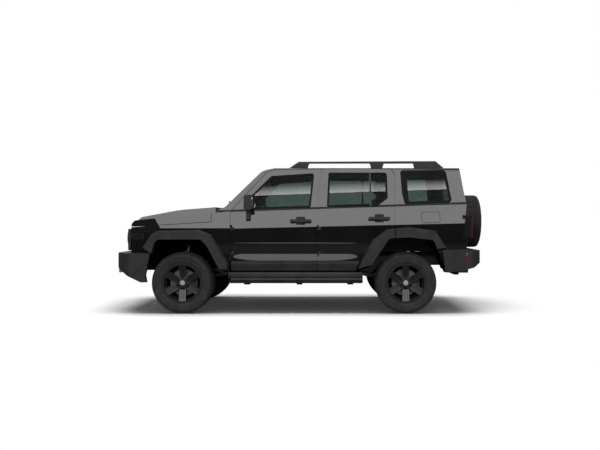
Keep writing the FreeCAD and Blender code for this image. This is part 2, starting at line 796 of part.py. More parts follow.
def build_rear_bumper():
    x = tail_x
    front = rear_axle_x + 446
    plan = [(front, half_width - 35), (x + 60, half_width - 35, 60), (x + 133, 760, 60), (x + 215, 560, 40),
            (x + 215, -560, 40), (x + 133, -760, 60), (x + 60, -half_width + 35, 60), (front,
                                                                                       -half_width + 35)]
    side = [(front, bumper_top + 41), (x - 36, bumper_top + 50, 10), (x + 3, bumper_top + 36),
            (x + 240, bumper_top + 23),
            (x + 240, 610), (x + 133, 585), (x - 108, 520), (front + 68, 512), (front + 39, 520)]
    shell = prism_z(plan, 300, 900).common(prism_y(side, -far, far))
    inside = [(front - 10, 862), (x - 30, 862), (x - 30, 700), (x + 80, 480), (x + 80, -480), (x - 30, -700),
              (x - 30, -862), (front - 10, -862)]
    shell = shell.cut(prism_z(inside, 300, bumper_top))
    room = body_solid(-5).fuse(block(tail_x - 330, tail_x + 16, -790, 790, bumper_top - 100, 1200))
    shell = shell.cut(room).cut(prism_y(offset_outline(rear_arch(), 4), -far, far))
    solids = sorted(shell.Solids, key=lambda s: -s.Volume)
    save("rear_bumper", solids[0])


# The front face with its lamps, and the tail lamps

grille_half = 470
lamp_y = 640
lamp_z = 925
lamp_radius = 108
grille_slats = 6


def build_face(bumper_grille, fog_lamps):
    x = nose_x
    panel = [(-grille_half - 290, 770, 30), (-grille_half - 290, 1040, 30), (grille_half + 290, 1040, 30),
             (grille_half + 290, 770, 30)]
    face = prism_x(panel, x - 34, x - seat_gap)
    window = [(-grille_half, 800, 30), (-grille_half, 1012, 30), (grille_half, 1012, 30),
              (grille_half, 800, 30)]
    face = face.cut(prism_x(window, x - 40, x + 10))
    pitch = 212 / grille_slats
    slats = [block(x - 26, x - 8, -grille_half, grille_half, 800 + pitch * (i + 0.5) - 5,
                   800 + pitch * (i + 0.5) + 5)
             for i in range(grille_slats)]
    posts = [block(x - 24, x - 6, y - 7, y + 7, 795, 1016) for y in (-235, 0, 235)]
    face = face.fuse(slats + posts)
    for y in (-lamp_y, lamp_y):
        face = face.cut(rod((x - 60, y, lamp_z), (x + 20, y, lamp_z), lamp_radius + seat_gap))
    save("grille", face, bumper_grille)
    lamps = []
    for y in (-lamp_y, lamp_y):
        bowl = rod((x - 22, y, lamp_z), (x - seat_gap, y, lamp_z), lamp_radius)
        ring = rod((x - 46, y, lamp_z), (x - 22, y, lamp_z), lamp_radius)
        ring = ring.cut(rod((x - 50, y, lamp_z), (x - 22, y, lamp_z), lamp_radius - 14))
        lamps.append(bowl.fuse(ring).fuse(rod((x - 44, y, lamp_z), (x - 22, y, lamp_z), 34)))
    bar = prism_y([(x - 8, 916), (x - 8, 975), (x + 187, 968), (x + 187, 924)], 768, 1000)
    shape = front_solid(-9).cut(front_solid(0)).common(bar)
    save("front_lamps", *lamps, *both_sides(shape), *fog_lamps)


def build_tail_lamps():
    x = tail_x
    lamp = [(x - 70, 905, 12), (x - 78, 1215, 12), (x + 46, 1185, 20), (x + 46, 930, 20)]
    shape = prism_y(lamp, 726 + panel_gap, 896)
    save("tail_lamps", *both_sides(shape.cut(body_solid(0))))


# Roof rails, side steps and the trim on the doors

rail_y = 618
handle_length = 264


def build_rails():
    x0 = front_axle_x + 1274
    x1 = x0 + 2016
    top = rail_top_height
    outline = [(x0, roof_edge_height - 25), (x0 + 147, top - 9, 60), (x1 - 128, top, 60),
               (x1, roof_edge_height - 25)]
    rail = drafted_y(outline, 10, rail_y - 22, rail_y + 26)
    gaps = [(x0 + 250, x0 + 1082), (x0 + 1197, x0 + 1632)]
    for start, end in gaps:
        slot = [(start, roof_edge_height - 60), (start + 30, top - 36, 12), (end - 30, top - 34, 12),
                (end, roof_edge_height - 60)]
        rail = rail.cut(prism_y(slot, rail_y - 60, rail_y + 60))
    rail = rail.cut(body_solid(0))
    save("roof_rails", *both_sides(rail))


def build_steps():
    x0 = front_axle_x + 554
    x1 = x0 + 1673
    board = prism_x([(790, 372), (790, 436, 10), (926, 440, 12), (932, 415, 12), (905, 372, 14)], x0, x1)
    ends = [(x0, 780), (x0 + 60, 960), (x1 - 20, 960), (x1, 780)]
    board = board.common(prism_z(ends, 0, 900))
    shapes = [board]
    for x in (x0 + 200, x0 + 850, x0 + 1480):
        shapes.append(prism_y([(x, 352), (x + 70, 352), (x + 70, 372), (x, 372)], rail_outer + seat_gap, 860))
        shapes.append(block(x, x + 70, rail_outer + seat_gap, 460, 352, 470))
    step = joined(*shapes)
    save("side_steps", *both_sides(step))


def door_handle(x, z):
    """A pull handle over a cup in the door, its grip starting at a station."""
    middle = x + handle_length / 2
    cup = prism_y([(middle - 57, z - 49, 16), (middle - 57, z + 49, 16), (middle + 57, z + 49, 16),
                   (middle + 57, z - 49, 16)], skin_half - 22, skin_half + 5)
    grip = prism_y([(x, z - 17, 14), (x, z + 17, 14), (x + handle_length, z + 17, 14),
                    (x + handle_length, z - 17, 14)],
                   skin_half + 28, skin_half + 46)
    ends = [block(x + start, x + start + 30, skin_half - 30, skin_half + 36, z - 14, z + 14)
            for start in (10, handle_length - 40)]
    return cup, grip.fuse(ends)


def door_cladding(outline):
    """The plastic along the foot of a door, standing proud of its skin."""
    band = [(-far, door_bottom - 5), (-far, door_bottom + 30), (skin_half - 2, door_bottom + 10),
            (skin_half + 16, cladding_top - 30), (skin_half + 16, cladding_top - 8), (skin_half - 6,
                                                                                      cladding_top + 10),
            (-far, cladding_top + 10)]
    strip = prism_x(band, firewall_x, tail_x)
    return strip.common(prism_y(outline, 800, far))


def mirror_shape():
    seam = front_seam_x
    z = belt_height
    head = prism_y([(seam + 180, z + 10, 20), (seam + 184, z + 190, 24), (seam + 270, z + 196, 12),
                    (seam + 278, z + 16, 12)], 852, half_width + 92)
    arm = drafted_y([(seam + 190, z - 122), (seam + 190, z + 40), (seam + 256, z + 40),
                     (seam + 250, z - 122)], 8,
                    840, 945)
    arm = arm.cut(prism_x([(850, z - 300), (1100, z - 300), (1100, z - 40), (900, z - 122),
                           (850, z - 124)], -3000, 3000))
    return head.fuse(arm)


def build_door_trim(rear_flare_part, hinge_leaves):
    body = body_solid(0)
    seam = front_seam_x
    handles = {"front": (seam + 734, crease_height + 105), "rear": (pillar_x + 633, crease_height + 136)}
    outlines = {"front": front_door_outline(), "rear": rear_door_outline()}
    flare_zone = prism_y(rear_flare_outline(), 700, far)
    for place, outline in outlines.items():
        cup, grip = [shape.cut(body) for shape in door_handle(*handles[place])]
        strip = door_cladding(outline).cut(body)
        if place == "front":
            strip = strip.cut(block(seam - 10, seam + 14, 0, far, 0, 900))
            shapes = [cup, grip, strip, mirror_shape().cut(body)]
        else:
            strip = strip.cut(flare_zone)
            bar = body.cut(body_solid(glass_depth - seat_gap)).common(mirrored(left_prism(rear_window_bar())))
            shapes = [cup, grip, strip, bar, mirrored(rear_flare_part)]
        shapes += [mirrored(leaf).cut(body) for leaf in hinge_leaves[place]]
        save(place + "_door_trim_left", *[mirrored(s) for s in shapes])
        save(place + "_door_trim_right", *shapes)


# Hinges of the doors and the tailgate

hinge_radius = 8
hinge_pin_radius = 4
hinge_height = 90
hinge_standoff = 9
hinge_setback = 11
door_hinge_heights = (700, 1000)
tailgate_hinge_heights = (880, 1160)


def hinge_at(z, leaf_back):
    """One hinge about the Z axis: its fixed half towards -X, and its moving half."""
    leaf_x = -hinge_setback - leaf_back
    low, high = z + 25, z + hinge_height - 25
    pin = rod((0, 0, z), (0, 0, z + hinge_height), hinge_pin_radius)
    fixed = [pin]
    for z0, z1 in ((z, low), (high, z + hinge_height)):
        fixed.append(rod((0, 0, z0), (0, 0, z1), hinge_radius))
        fixed.append(block(leaf_x, 0, hinge_standoff - 4, hinge_standoff - 1, z0, z1))
        fixed.append(block(leaf_x, leaf_x + 2, hinge_standoff - 4, hinge_standoff + skin_seat - seat_gap,
                           z0, z1))
    knuckle = rod((0, 0, low + seat_gap), (0, 0, high - seat_gap), hinge_radius)
    knuckle = knuckle.fuse(block(-4, 34, hinge_standoff - 4, hinge_standoff + 10, low + seat_gap,
                                 high - seat_gap))
    knuckle = knuckle.cut(rod((0, 0, z), (0, 0, z + hinge_height), hinge_pin_radius + seat_gap))
    return joined(*fixed), knuckle


def door_hinges(edge_x, leaf_back):
    """The halves of one left door's hinges, the door's front edge lying at edge_x."""
    fixed, moving = [], []
    for z in door_hinge_heights:
        still, turning = hinge_at(z, leaf_back)
        place = Vector(edge_x + hinge_setback, -skin_half - hinge_standoff, 0)
        fixed.append(still.translated(place))
        moving.append(turning.translated(place))
    return fixed, moving


def tailgate_hinges():
    """The halves of the tailgate's hinges on its right side."""
    fixed, moving = [], []
    for z in tailgate_hinge_heights:
        for shape, group in zip(hinge_at(z, panel_gap - seat_gap), (fixed, moving)):
            turned = shape.copy()
            turned.rotate(Vector(0, 0, 0), Vector(0, 0, 1), -90)
            turned = turned.mirror(Vector(0, 0, 0), Vector(1, 0, 0))
            group.append(turned.translated(Vector(tail_x + 5 + hinge_standoff, 720 - hinge_setback, 0)))
    return fixed, moving


# Frame, engine and driveline

rail_inner = 365
rail_outer = 435
engine_half = 230
front_diff_radius = 105
rear_diff_radius = 135
axle_tube_radius = 45
exhaust_y = 275
shaft_radius = 16
arm_drop = 28


def coil(start, end, radius, turns):
    """A spring as a stack of full turns about a slanted axis."""
    run = Vector(*end) - Vector(*start)
    pitch = run.Length / turns
    points = [Vector(radius - 14, 0, 0)]
    for i in range(turns):
        points += [Vector(radius - 8, 0, pitch * i), Vector(radius, 0, pitch * (i + 0.5))]
    points += [Vector(radius - 8, 0, run.Length), Vector(radius - 14, 0, run.Length)]
    ring = Part.Face(Part.makePolygon(points[1:] + [points[0], points[1]]))
    solid = ring.revolve(Vector(0, 0, 0), Vector(0, 0, 1), 360)
    solid.Placement = FreeCAD.Placement(Vector(*start), FreeCAD.Rotation(Vector(0, 0, 1), run))
    return solid


def build_frame():
    x = front_axle_x
    r = rear_axle_x
    front = front_face_x + bumper_wall + seat_gap
    rear = tail_x + 80 - seat_gap
    side = [(front, 500), (front, 620), (x + 330, 620), (x + 430, 560), (r - 430, 560), (r - 290, 700),
            (rear, 700),
            (rear, 600), (r - 270, 590), (r - 410, 440), (x + 450, 440), (x + 340, 500)]
    rail = prism_y(side, rail_inner, rail_outer)
    shapes = both_sides(rail)
    beams = [(front + 90, 70, 520, 610), (x + 960, 60, 442, 490), (x + 1500, 60, 442, 490),
             (r - 280, 60, 610, 690),
             (r + 330, 60, 640, 695), (tail_x - 80, 60, 610, 690)]
    for start, length, z0, z1 in beams:
        shapes.append(block(start, start + length, -rail_inner - 5, rail_inner + 5, z0, z1))
    for side_y in (-1, 1):
        tower = [block(x - 40, x + 40, rail_inner + 35, rail_outer, 600, 830),
                 block(x - 50, x + 50, rail_inner + 35, 560, 814, 830)]
        for dx in (-120, 120):
            tower.append(block(x + dx - 24, x + dx + 24, rail_inner - 30, rail_inner + 12, 285, 520))
        for bx in (x + 620, x + 1400, r - 560):
            tower.append(rod((bx, rail_inner + 35, 550),
                             (bx, rail_inner + 35, floor_height - floor_thickness - seat_gap), 30))
        for bx in (r + 150, r + 600):
            tower.append(rod((bx, rail_inner + 35, 690),
                             (bx, rail_inner + 35, load_floor_height - floor_thickness - seat_gap), 30))
        for shape in tower:
            shapes.append(mirrored(shape) if side_y < 0 else shape)
    hitch = tail_x + 10
    half = receiver_size / 2
    tube = block(hitch - 90, hitch + 170, -half, half, receiver_height - half, receiver_height + half)
    cross = block(hitch - 90, hitch - 30, -rail_inner, rail_inner, receiver_height - 34, receiver_height + 34)
    shapes += [tube, cross]
    for y in (-rail_inner - 20, rail_inner - 10):
        shapes.append(block(hitch - 90, hitch - 30, y, y + 30, receiver_height - 34, 640))
    frame = joined(*shapes)
    bore = receiver_bore / 2
    frame = frame.cut(block(hitch - 20, hitch + 200, -bore, bore, receiver_height - bore,
                            receiver_height + bore))
    save("ladder_frame", frame)


def build_driveline():
    x = front_axle_x
    r = rear_axle_x
    engine = block(x - 330, x + 330, -engine_half, engine_half, 560, 1010)
    cover = prism_x([(-190, 1010), (-170, 1062, 20), (170, 1062, 20), (190, 1010)], x - 290, x + 300)
    arm_half = (rail_inner + 35 - seat_gap - 164) / 2
    mounts = [block(x - 60, x + 20, s * (164 + arm_half) - arm_half, s * (164 + arm_half) + arm_half, 575,
                    619.7)
              for s in (-1, 1)]
    mounts = [m.cut(block(x - 100, x + 100, -engine_half + 20, engine_half - 20, 500, 700)) for m in mounts]
    lifted = [m.translated(Vector(0, 0, 620 + seat_gap - 575)) for m in mounts]
    save("engine", joined(engine, cover, *lifted))
    box = prism_x([(-140, 505), (-150, 680, 40), (-110, 735, 40), (110, 735, 40), (150, 680, 40), (140, 505)],
                  x + 330 + seat_gap, x + 860)
    tail = prism_x([(-110, 500), (-120, 660, 40), (120, 660, 40), (110, 500)], x + 860, x + 1400)
    rear_shaft = rod((x + 1400, 0, 545), (r - 190, 0, 405), 34)
    nose = rod((r - 190, 0, 405), (r - rear_diff_radius + 4, 0, 398), 44)
    case = prism_x([(-200, 500), (-200, 582, 20), (-100, 582, 20), (-100, 500)], x + 880, x + 1120)
    front_shaft = rod((x + 890, -160, 530), (x + 150, -150, 392), 26)
    front_nose = rod((x + 160, -150, 394), (x + 60, -110, 376), 36)
    cut_axle = rod((x, -300, hub_z), (x, 300, hub_z), front_diff_radius + seat_gap)
    cut_rear = rod((r, -200, hub_z), (r, 200, hub_z), rear_diff_radius + seat_gap)
    line = joined(box, tail, case, rear_shaft, nose, front_shaft, front_nose.cut(cut_axle))
    line = line.cut(cut_axle).cut(cut_rear)
    save("driveline", line)
    stand = 620 + seat_gap
    core = block(front_face_x + 300, front_face_x + 350, -380, 380, stand, 1035)
    tanks = [block(front_face_x + 292, front_face_x + 358, s * 350 - 30, s * 350 + 30, stand,
                   1040) for s in (-1, 1)]
    feet = [block(front_face_x + 300, front_face_x + 350, s * 390 - 30, s * 390 + 30, stand,
                  660) for s in (-1, 1)]
    save("radiator", joined(core, *tanks, *feet))


def front_diff():
    x = front_axle_x
    y = 110
    housing = rod((x, -y, hub_z), (x, y, hub_z), front_diff_radius)
    nose = rod((x, -150, hub_z), (x, 150, hub_z), 52)
    return housing.fuse(nose)


def build_front_axle():
    x = front_axle_x
    shapes = [front_diff()]
    for s in (-1, 1):
        shapes.append(rod((x, s * 140, hub_z), (x, s * kingpin_y, hub_z), shaft_radius))
        shapes.append(Part.makeSphere(38, Vector(x, s * kingpin_y, hub_z)))
        shapes.append(rod((x, s * 160, hub_z), (x, s * 225, hub_z), 44))
    hanger = block(x - 30, x + 30, -rail_inner + seat_gap, rail_inner - seat_gap, hub_z + 90, hub_z + 124)
    hanger = hanger.fuse(block(x - 30, x + 30, -rail_inner + seat_gap, -rail_inner + 30, hub_z + 90, 560))
    hanger = hanger.fuse(block(x - 30, x + 30, rail_inner - 30, rail_inner - seat_gap, hub_z + 90, 560))
    hanger = hanger.cut(block(x - 40, x + 40, -engine_half - 10, engine_half + 10, 530, 700))
    shapes.append(hanger)
    save("front_axle", joined(*shapes))


def build_front_suspension():
    x = front_axle_x
    low = hub_z - kingpin_half_height
    high = hub_z + kingpin_half_height
    shapes = []
    for s in (-1, 1):
        ball = [rod((x, s * kingpin_y, low - 40), (x, s * kingpin_y, low - seat_gap), 24),
                rod((x, s * kingpin_y, high + seat_gap), (x, s * kingpin_y, high + 28), 24)]
        arms = []
        for dx in (-120, 120):
            arms.append(rod((x, s * kingpin_y, low - arm_drop), (x + dx, s * (rail_inner + 13), 305), 16))
        lower = joined(ball[0], *arms, rod((x - 120, s * 378, 305), (x + 120, s * 378, 305), 16))
        lower = lower.cut(block(x - 200, x + 200, -rail_inner - 12, rail_inner + 12, 200, 400))
        upper_arms = [rod((x, s * kingpin_y, high + 15), (x + dx, s * (rail_outer + 18), 590),
                          12) for dx in (-100, 100)]
        upper = joined(ball[1], *upper_arms,
                       rod((x - 120, s * (rail_outer + 18), 590), (x - 80, s * (rail_outer + 18), 590), 17),
                       rod((x + 80, s * (rail_outer + 18), 590), (x + 120, s * (rail_outer + 18), 590), 17))
        upper = upper.cut(block(x - 200, x + 200, -rail_outer - seat_gap, rail_outer + seat_gap, 400, 700))
        shock = rod((x, s * 512, 440), (x, s * 502, 812), 18)
        spring = coil((x, s * 511, 500.5), (x, s * 504, 769.5), 44, 6)
        plates = [rod((x, s * 511, 488), (x, s * 511, 500), 46),
                  rod((x, s * 504, 770), (x, s * 504, 782), 46)]
        yoke = rod((x - 38, s * 514, 440), (x + 38, s * 514, 440), 14)
        legs = [rod((x + dx, s * 514, 440), (x + dx, s * 545, 264), 11) for dx in (-34, 34)]
        cross = rod((x - 75, s * 545, 264), (x + 75, s * 545, 264), 12)
        strut = joined(lower, cross, *legs, yoke, shock, *plates)
        shapes += [strut, upper, spring.cut(strut)]
    save("front_suspension", *shapes)


def build_rear_axle():
    r = rear_axle_x
    shapes = [rod((r, -wheel_y + 21, hub_z), (r, wheel_y - 21, hub_z), axle_tube_radius),
              rod((r, -75, hub_z), (r, 75, hub_z), rear_diff_radius)]
    for s in (-1, 1):
        shapes.append(rod((r, s * (wheel_y - 21), hub_z), (r, s * (wheel_y - 60), hub_z), 62))
        shapes.append(rod((r, s * (wheel_y - 30), hub_z), (r, s * (wheel_y + 10 - seat_gap), hub_z),
                          spindle_radius))
        brake = caliper().translated(Vector(r, 0, 0))
        shapes.append(brake if s > 0 else mirrored(brake))
        shapes.append(rod((r, s * 470, 330), (r - 560, s * 470, 470), 22))
        shapes.append(rod((r - 560, s * 500, 470), (r - 560, s * (rail_outer + seat_gap), 470), 30))
        shapes.append(block(r - 40, r + 40, s * 470 - 25, s * 470 + 25, 310, 400))
        shapes.append(rod((r, s * 400, 415), (r, s * 400, 440), 62))
        shapes.append(rod((r + 60, s * 560, 340), (r + 130, s * 480, 640), 20))
        shapes.append(rod((r + 130, s * 490, 640), (r + 130, s * (rail_outer + seat_gap), 640), 16))
        shapes.append(rod((r, s * 560, 350), (r + 64, s * 560, 340), 18))
    axle = joined(*shapes)
    springs = []
    for s in (-1, 1):
        springs.append(coil((r, s * 400, 440 + seat_gap), (r, s * 400, 590 - 4), 56, 5))
    save("rear_axle", axle, *springs)


def build_tank_and_exhaust():
    x = front_axle_x
    r = rear_axle_x
    tank = prism_z([(x + 1570, -350, 40), (x + 1570, -70, 40), (r - 530, -70, 40), (r - 530, -350, 40)],
                   450, 578)
    straps = [block(sx, sx + 40, -rail_inner + seat_gap, -60, 444, 449.7) for sx in (x + 1700, r - 700)]
    hangers = [block(sx, sx + 40, -rail_inner + seat_gap, -rail_inner + 8, 444, 540) for sx in (x + 1700,
                                                                                                r - 700)]
    save("fuel_tank", joined(tank, *straps,
                             *hangers).fuse(block(x + 1700, r - 660, -352, -348, 446,
                                                  500)).removeSplitter())
    y = exhaust_y
    bends = [(x + 200, engine_half + seat_gap, 600), (x + 200, y, 600), (x + 420, y, 530), (r - 650, y, 530),
             (r - 250, y, 545), (r + 720, y, 545)]
    pieces = [prism_x([(y - 80, 500, 30), (y - 80, 578, 30), (y + 80, 578, 30), (y + 80, 500, 30)],
                      x + 1580, x + 2080)]
    for start, end in zip(bends, bends[1:]):
        pieces.append(rod(start, end, 27))
    for bend in bends[1:-1]:
        pieces.append(Part.makeSphere(27, Vector(*bend)))
    save("exhaust", joined(*pieces))


# Knuckles, brakes and wheels


def caliper():
    """A right-hand brake caliper about a wheel centre at x = 0."""
    y = wheel_y
    body = prism_y([(95, -60, 20), (178, -60, 30), (178, 60, 30), (95, 60, 20)], y - 45, y + 37)
    slot = rod((0, y - 16 - caliper_gap, 0), (0, y + 10 + caliper_gap, 0), disc_radius + 7)
    arm = block(50, 125, y - 45, y - 30, -28, 28)
    return body.cut(slot).fuse(arm).translated(Vector(0, 0, hub_z))


def build_knuckles():
    y = wheel_y
    k = kingpin_y
    reach = kingpin_half_height
    hub = rod((0, y - 75, 0), (0, y - 21, 0),
              70).fuse(rod((0, y - 30, 0), (0, y + 10 - seat_gap, 0), spindle_radius))
    bosses = []
    for s in (-1, 1):
        bosses.append(block(-26, 26, y - 76, y - 44, min(s * 60, s * reach), max(s * 60, s * reach)))
        bosses.append(rod((0, k, s * (reach - 34)), (0, k, s * reach), 25))
    arm = prism_z([(60, y - 70, 8), (150, y - 66, 16), (150, y - 40, 10), (60, y - 34, 8)], -14, 14)
    solid = joined(hub, *bosses, arm)
    solid = solid.cut(Part.makeSphere(43, Vector(0, k, 0)))
    solid = solid.cut(Part.makeCone(26, 60, 60, Vector(0, k, 0), Vector(0, -1, 0)))
    solid = joined(solid.translated(Vector(0, 0, hub_z)), caliper())
    solid = solid.translated(Vector(front_axle_x, 0, 0))
    save("front_knuckle_left", mirrored(solid))
    save("front_knuckle_right", solid)


def tyre(radius, width, bead):
    """A tyre about the Y axis, its outer side towards +Y."""
    half = width / 2
    flange = rim_flange_radius - bead_radius + bead
    side = [(bead, half - 26), (flange + 2, half - 26), (bead + 58, half), (radius - 28, half - 3),
            (radius - 9, half - 14), (radius, half - 36)]
    inside = [(radius - 22, half - 40), (bead + 60, half - 15), (bead, half - 42)]
    profile = side + [(r, -a) for r, a in reversed(side)]
    profile += [(r, -a) for r, a in reversed(inside)] + inside
    return turned_y(profile, 0, 0, 0)


def rim(bead, width, spokes, disc):
    """A wheel about the Y axis, its outer side towards +Y, with its brake disc."""
    half = width / 2
    flange = rim_flange_radius - bead_radius + bead
    wall = rim_wall
    drop = bead - 20
    barrel = [(bead - seat_gap, -half), (flange, -half), (flange, -half - 8), (bead - wall, -half - 8),
              (bead - wall, -half + 30), (drop - wall, -half + 60), (drop - wall, half - 70), (bead - wall,
                                                                                               half - 36),
              (bead - wall, half + 8), (flange, half + 8), (flange, half), (bead - seat_gap, half),
              (bead - seat_gap, half - 34), (drop, half - 66), (drop, -half + 56), (bead - seat_gap,
                                                                                    -half + 26)]
    shapes = [turned_y(barrel, 0, 0, 0)]
    face = wheel_offset
    band = [(1, face), (hub_pad_radius, face), (bead - 14, half - 44), (bead - 6, half - 40),
            (bead - 6, half - 4),
            (hub_pad_radius, face + 34), (34, face + 38), (30, face + 50), (1, face + 50)]
    web = turned_y(band, 0, 0, 0)
    ribs = [rod((0, face, 0), (0, face + 60, 0), hub_pad_radius - 4)]
    grooves = []
    for i in range(spokes):
        angle = 90 + 360 / spokes * i
        spoke = prism_y([(40, -spoke_width_hub / 2), (bead - 7, -spoke_width_rim / 2),
                         (bead - 7, spoke_width_rim / 2),
                         (40, spoke_width_hub / 2)], 0, half + 10)
        spoke.rotate(Vector(0, 0, 0), Vector(0, 1, 0), angle)
        ribs.append(spoke)
        for z in (-15, 15):
            groove = prism_y([(88, z - 5), (bead - 30, z * 1.25 - 5), (bead - 30, z * 1.25 + 5),
                              (88, z + 5)], 0, half + 10)
            groove.rotate(Vector(0, 0, 0), Vector(0, 1, 0), angle)
            grooves.append(groove)
    deep = turned_y([(80, face + 25), (bead - 20, half - 17), (bead - 20, half + 20), (80, half + 20)], 0,
                    0, 0)
    star = web.common(joined(*ribs))
    for groove in grooves:
        star = star.cut(groove.common(deep))
    shapes.append(star)
    wheel = joined(*shapes)
    if disc:
        hat = turned_y([(1, 10), (84, 10), (84, face), (1, face)], 0, 0, 0)
        bore = spindle_radius + seat_gap
        plate = turned_y([(bore, -16), (disc_radius, -16), (disc_radius, 10), (bore, 10)], 0, 0, 0)
        wheel = joined(wheel, hat, plate)
    studs = []
    for i in range(stud_count):
        angle = 2 * math.pi * (i + 0.5) / stud_count
        cx, cz = stud_circle_radius * math.cos(angle), stud_circle_radius * math.sin(angle)
        studs.append(rod((cx, face + 18, cz), (cx, face + 60, cz), 15))
    return wheel.cut(studs[0].fuse(studs[1:]))


def build_wheels():
    rubber = tyre(tyre_radius, tyre_width, bead_radius)
    metal = rim(bead_radius, rim_width, spoke_count, True)
    for end, x in (("front", front_axle_x), ("rear", rear_axle_x)):
        place = Vector(x, wheel_y, hub_z)
        for name, shape in (("tyre", rubber), ("rim", metal)):
            right = shape.translated(place)
            save(name + "_" + end + "_right", right)
            save(name + "_" + end + "_left", mirrored(right))


spare_height = 1135
spare_bead = 218


def build_spare():
    x = rear_face_x - spare_width / 2
    shapes = [tyre(spare_radius, spare_width, spare_bead),
              rim(spare_bead, spare_width - 50, spoke_count, False)]
    for name, shape in zip(("spare_tyre", "spare_rim"), shapes):
        shape.rotate(Vector(0, 0, 0), Vector(0, 0, 1), -90)
        save(name, shape.translated(Vector(x, 0, spare_height)))
    back = x + wheel_offset - seat_gap
    plate = rod((back - 14, 0, spare_height), (back, 0, spare_height), 84)
    legs = []
    for y, z in ((-190, -120), (190, -120), (-150, 110), (150, 110)):
        legs.append(rod((back - 10, y * 0.25, spare_height + z * 0.25), (tail_x - 40, y, spare_height + z),
                        22))
    carrier = joined(plate, *legs).cut(body_solid(0)).cut(block(back, back + 100, -300, 300, 800, 1500))
    handle = block(tail_x - 30, tail_x + 12, -650, -520, 1000, 1060)
    grip = block(tail_x + 26, tail_x + 42, -640, -530, 1016, 1044)
    posts = [block(tail_x, tail_x + 34, y, y + 16, 1018, 1042) for y in (-636, -550)]
    pull = joined(handle, grip, *posts).cut(body_solid(0))
    return [carrier.Solids[0], pull]


# The inside of the cabin

seat_y = 370
seat_half = 255
bench_half = 585
column_y = -370
wheel_rim_radius = 185
grip_radius = 15


def seat(x, y0, y1, top):
    """A seat's cushion, back and headrests on its base."""
    floor = floor_height + seat_gap
    base = block(x - 400, x + 60, y0 + 90, y1 - 90, floor, top - 120 - seat_gap)
    cushion = prism_y([(x - 480, top - 120, 30), (x - 490, top - 10, 45), (x - 40, top - 38), (x, top - 120)],
                      y0, y1)
    back = prism_y([(x - 50, top - 36, 30), (x + 110, top + 520, 40), (x + 220, top + 500, 40),
                    (x + 100, top - 120, 40),
                    (x - 10, top - 120, 20)], y0 + 10, y1 - 10)
    return base, cushion, back


def headrest(x, y, top):
    pad = prism_y([(x + 110, top + 570, 25), (x + 130, top + 730, 30), (x + 215, top + 725, 35),
                   (x + 200, top + 565, 25)],
                  y - 115, y + 115)
    posts = [rod((x + 160, y + dy, top + 500), (x + 160, y + dy, top + 600), 7) for dy in (-50, 50)]
    return pad, posts


def build_interior():
    x = front_axle_x
    bases, pads, rests = [], [], []
    top = 900
    fronts = x + 1480
    for s in (-1, 1):
        base, cushion, back = seat(fronts, s * seat_y - seat_half, s * seat_y + seat_half, top)
        pad, posts = headrest(fronts, s * seat_y, top)
        bases.append(base)
        pads += [cushion.cut(back.translated(Vector(-seat_gap, 0, 0))), back.cut(posts[0]).cut(posts[1])]
        rests += [pad.fuse(posts).removeSplitter()]
    bench = x + 2330
    base, cushion, back = seat(bench, -bench_half, bench_half, 950)
    base = base.common(block(-3000, rear_axle_x - 436, -far, far, 0, 3000))
    bases.append(base)
    lift = block(rear_axle_x - 430, 3000, -far, far, 0, load_floor_height + seat_gap)
    pads += [cushion.cut(back.translated(Vector(-seat_gap, 0, 0))).cut(lift), back.cut(lift)]
    for y in (-seat_y, seat_y):
        pad, posts = headrest(bench, y, 950)
        pads[-1] = pads[-1].cut(posts[0]).cut(posts[1])
        rests.append(pad.fuse(posts).removeSplitter())
    save("seat_bases", *bases)
    save("front_seats", *pads[:4])
    save("rear_seat", *pads[4:])
    save("headrests", *rests)

    seam = front_seam_x
    dash = prism_y([(firewall_x + seat_gap, 900), (firewall_x + seat_gap, 1225), (seam + 60, 1240, 40),
                    (seam + 300, 1190, 50), (seam + 270, 960, 40), (seam + 120, 900,
                                                                    40)], -cabin_half + 8, cabin_half - 8)
    hood = prism_y([(seam + 120, 1200), (seam + 130, 1262, 20), (seam + 280, 1240, 20), (seam + 290, 1180)],
                   column_y - 150, column_y + 150)
    stand = tunnel_top + 30 + seat_gap
    console = prism_y([(seam + 200, stand), (seam + 200, 960), (seam + 300, 940, 30),
                       (fronts - 480, stand + 40, 40),
                       (tunnel_end_x + 20, stand + 60, 20), (tunnel_end_x + 20, stand)], -90, 90)
    lever = rod((fronts - 420, 0, stand + 20), (fronts - 440, 0, stand + 170), 12)
    knob = Part.makeSphere(26, Vector(fronts - 441, 0, stand + 180))
    foot, head = column_line()
    column = rod(foot, head, 34)
    save("dashboard", joined(dash, hood, console, lever, knob, column))


def column_line():
    seam = front_seam_x
    return (seam + 180, column_y, 1085), (seam + 330, column_y, 1140)


def build_steering_wheel():
    foot, head = column_line()
    along = (Vector(*head) - Vector(*foot)).normalize()
    corners = [math.radians(45 * i + 22.5) for i in range(8)]
    profile = [Vector(wheel_rim_radius + grip_radius * math.cos(a), 0,
                      grip_radius * math.sin(a)) for a in corners]
    ring = Part.Face(Part.makePolygon(profile + profile[:1])).revolve(Vector(0, 0, 0), Vector(0, 0, 1), 360)
    hub = Part.makeCylinder(48, 50, Vector(0, 0, -40))
    spokes = [block(-12, 12, 0, wheel_rim_radius, -18, -6)]
    for angle in (90, 180, 270):
        spoke = block(-16, 16, 0, wheel_rim_radius, -18, -6)
        spoke.rotate(Vector(0, 0, 0), Vector(0, 0, 1), angle)
        spokes.append(spoke)
    wheel = joined(ring, hub, *spokes[1:])
    tilt = math.degrees(math.atan2(along.x, along.z))
    wheel.rotate(Vector(0, 0, 0), Vector(0, 0, 1), 90)
    wheel.rotate(Vector(0, 0, 0), Vector(0, 1, 0), tilt)
    save("steering_wheel", wheel.translated(Vector(*head) + along * 41))


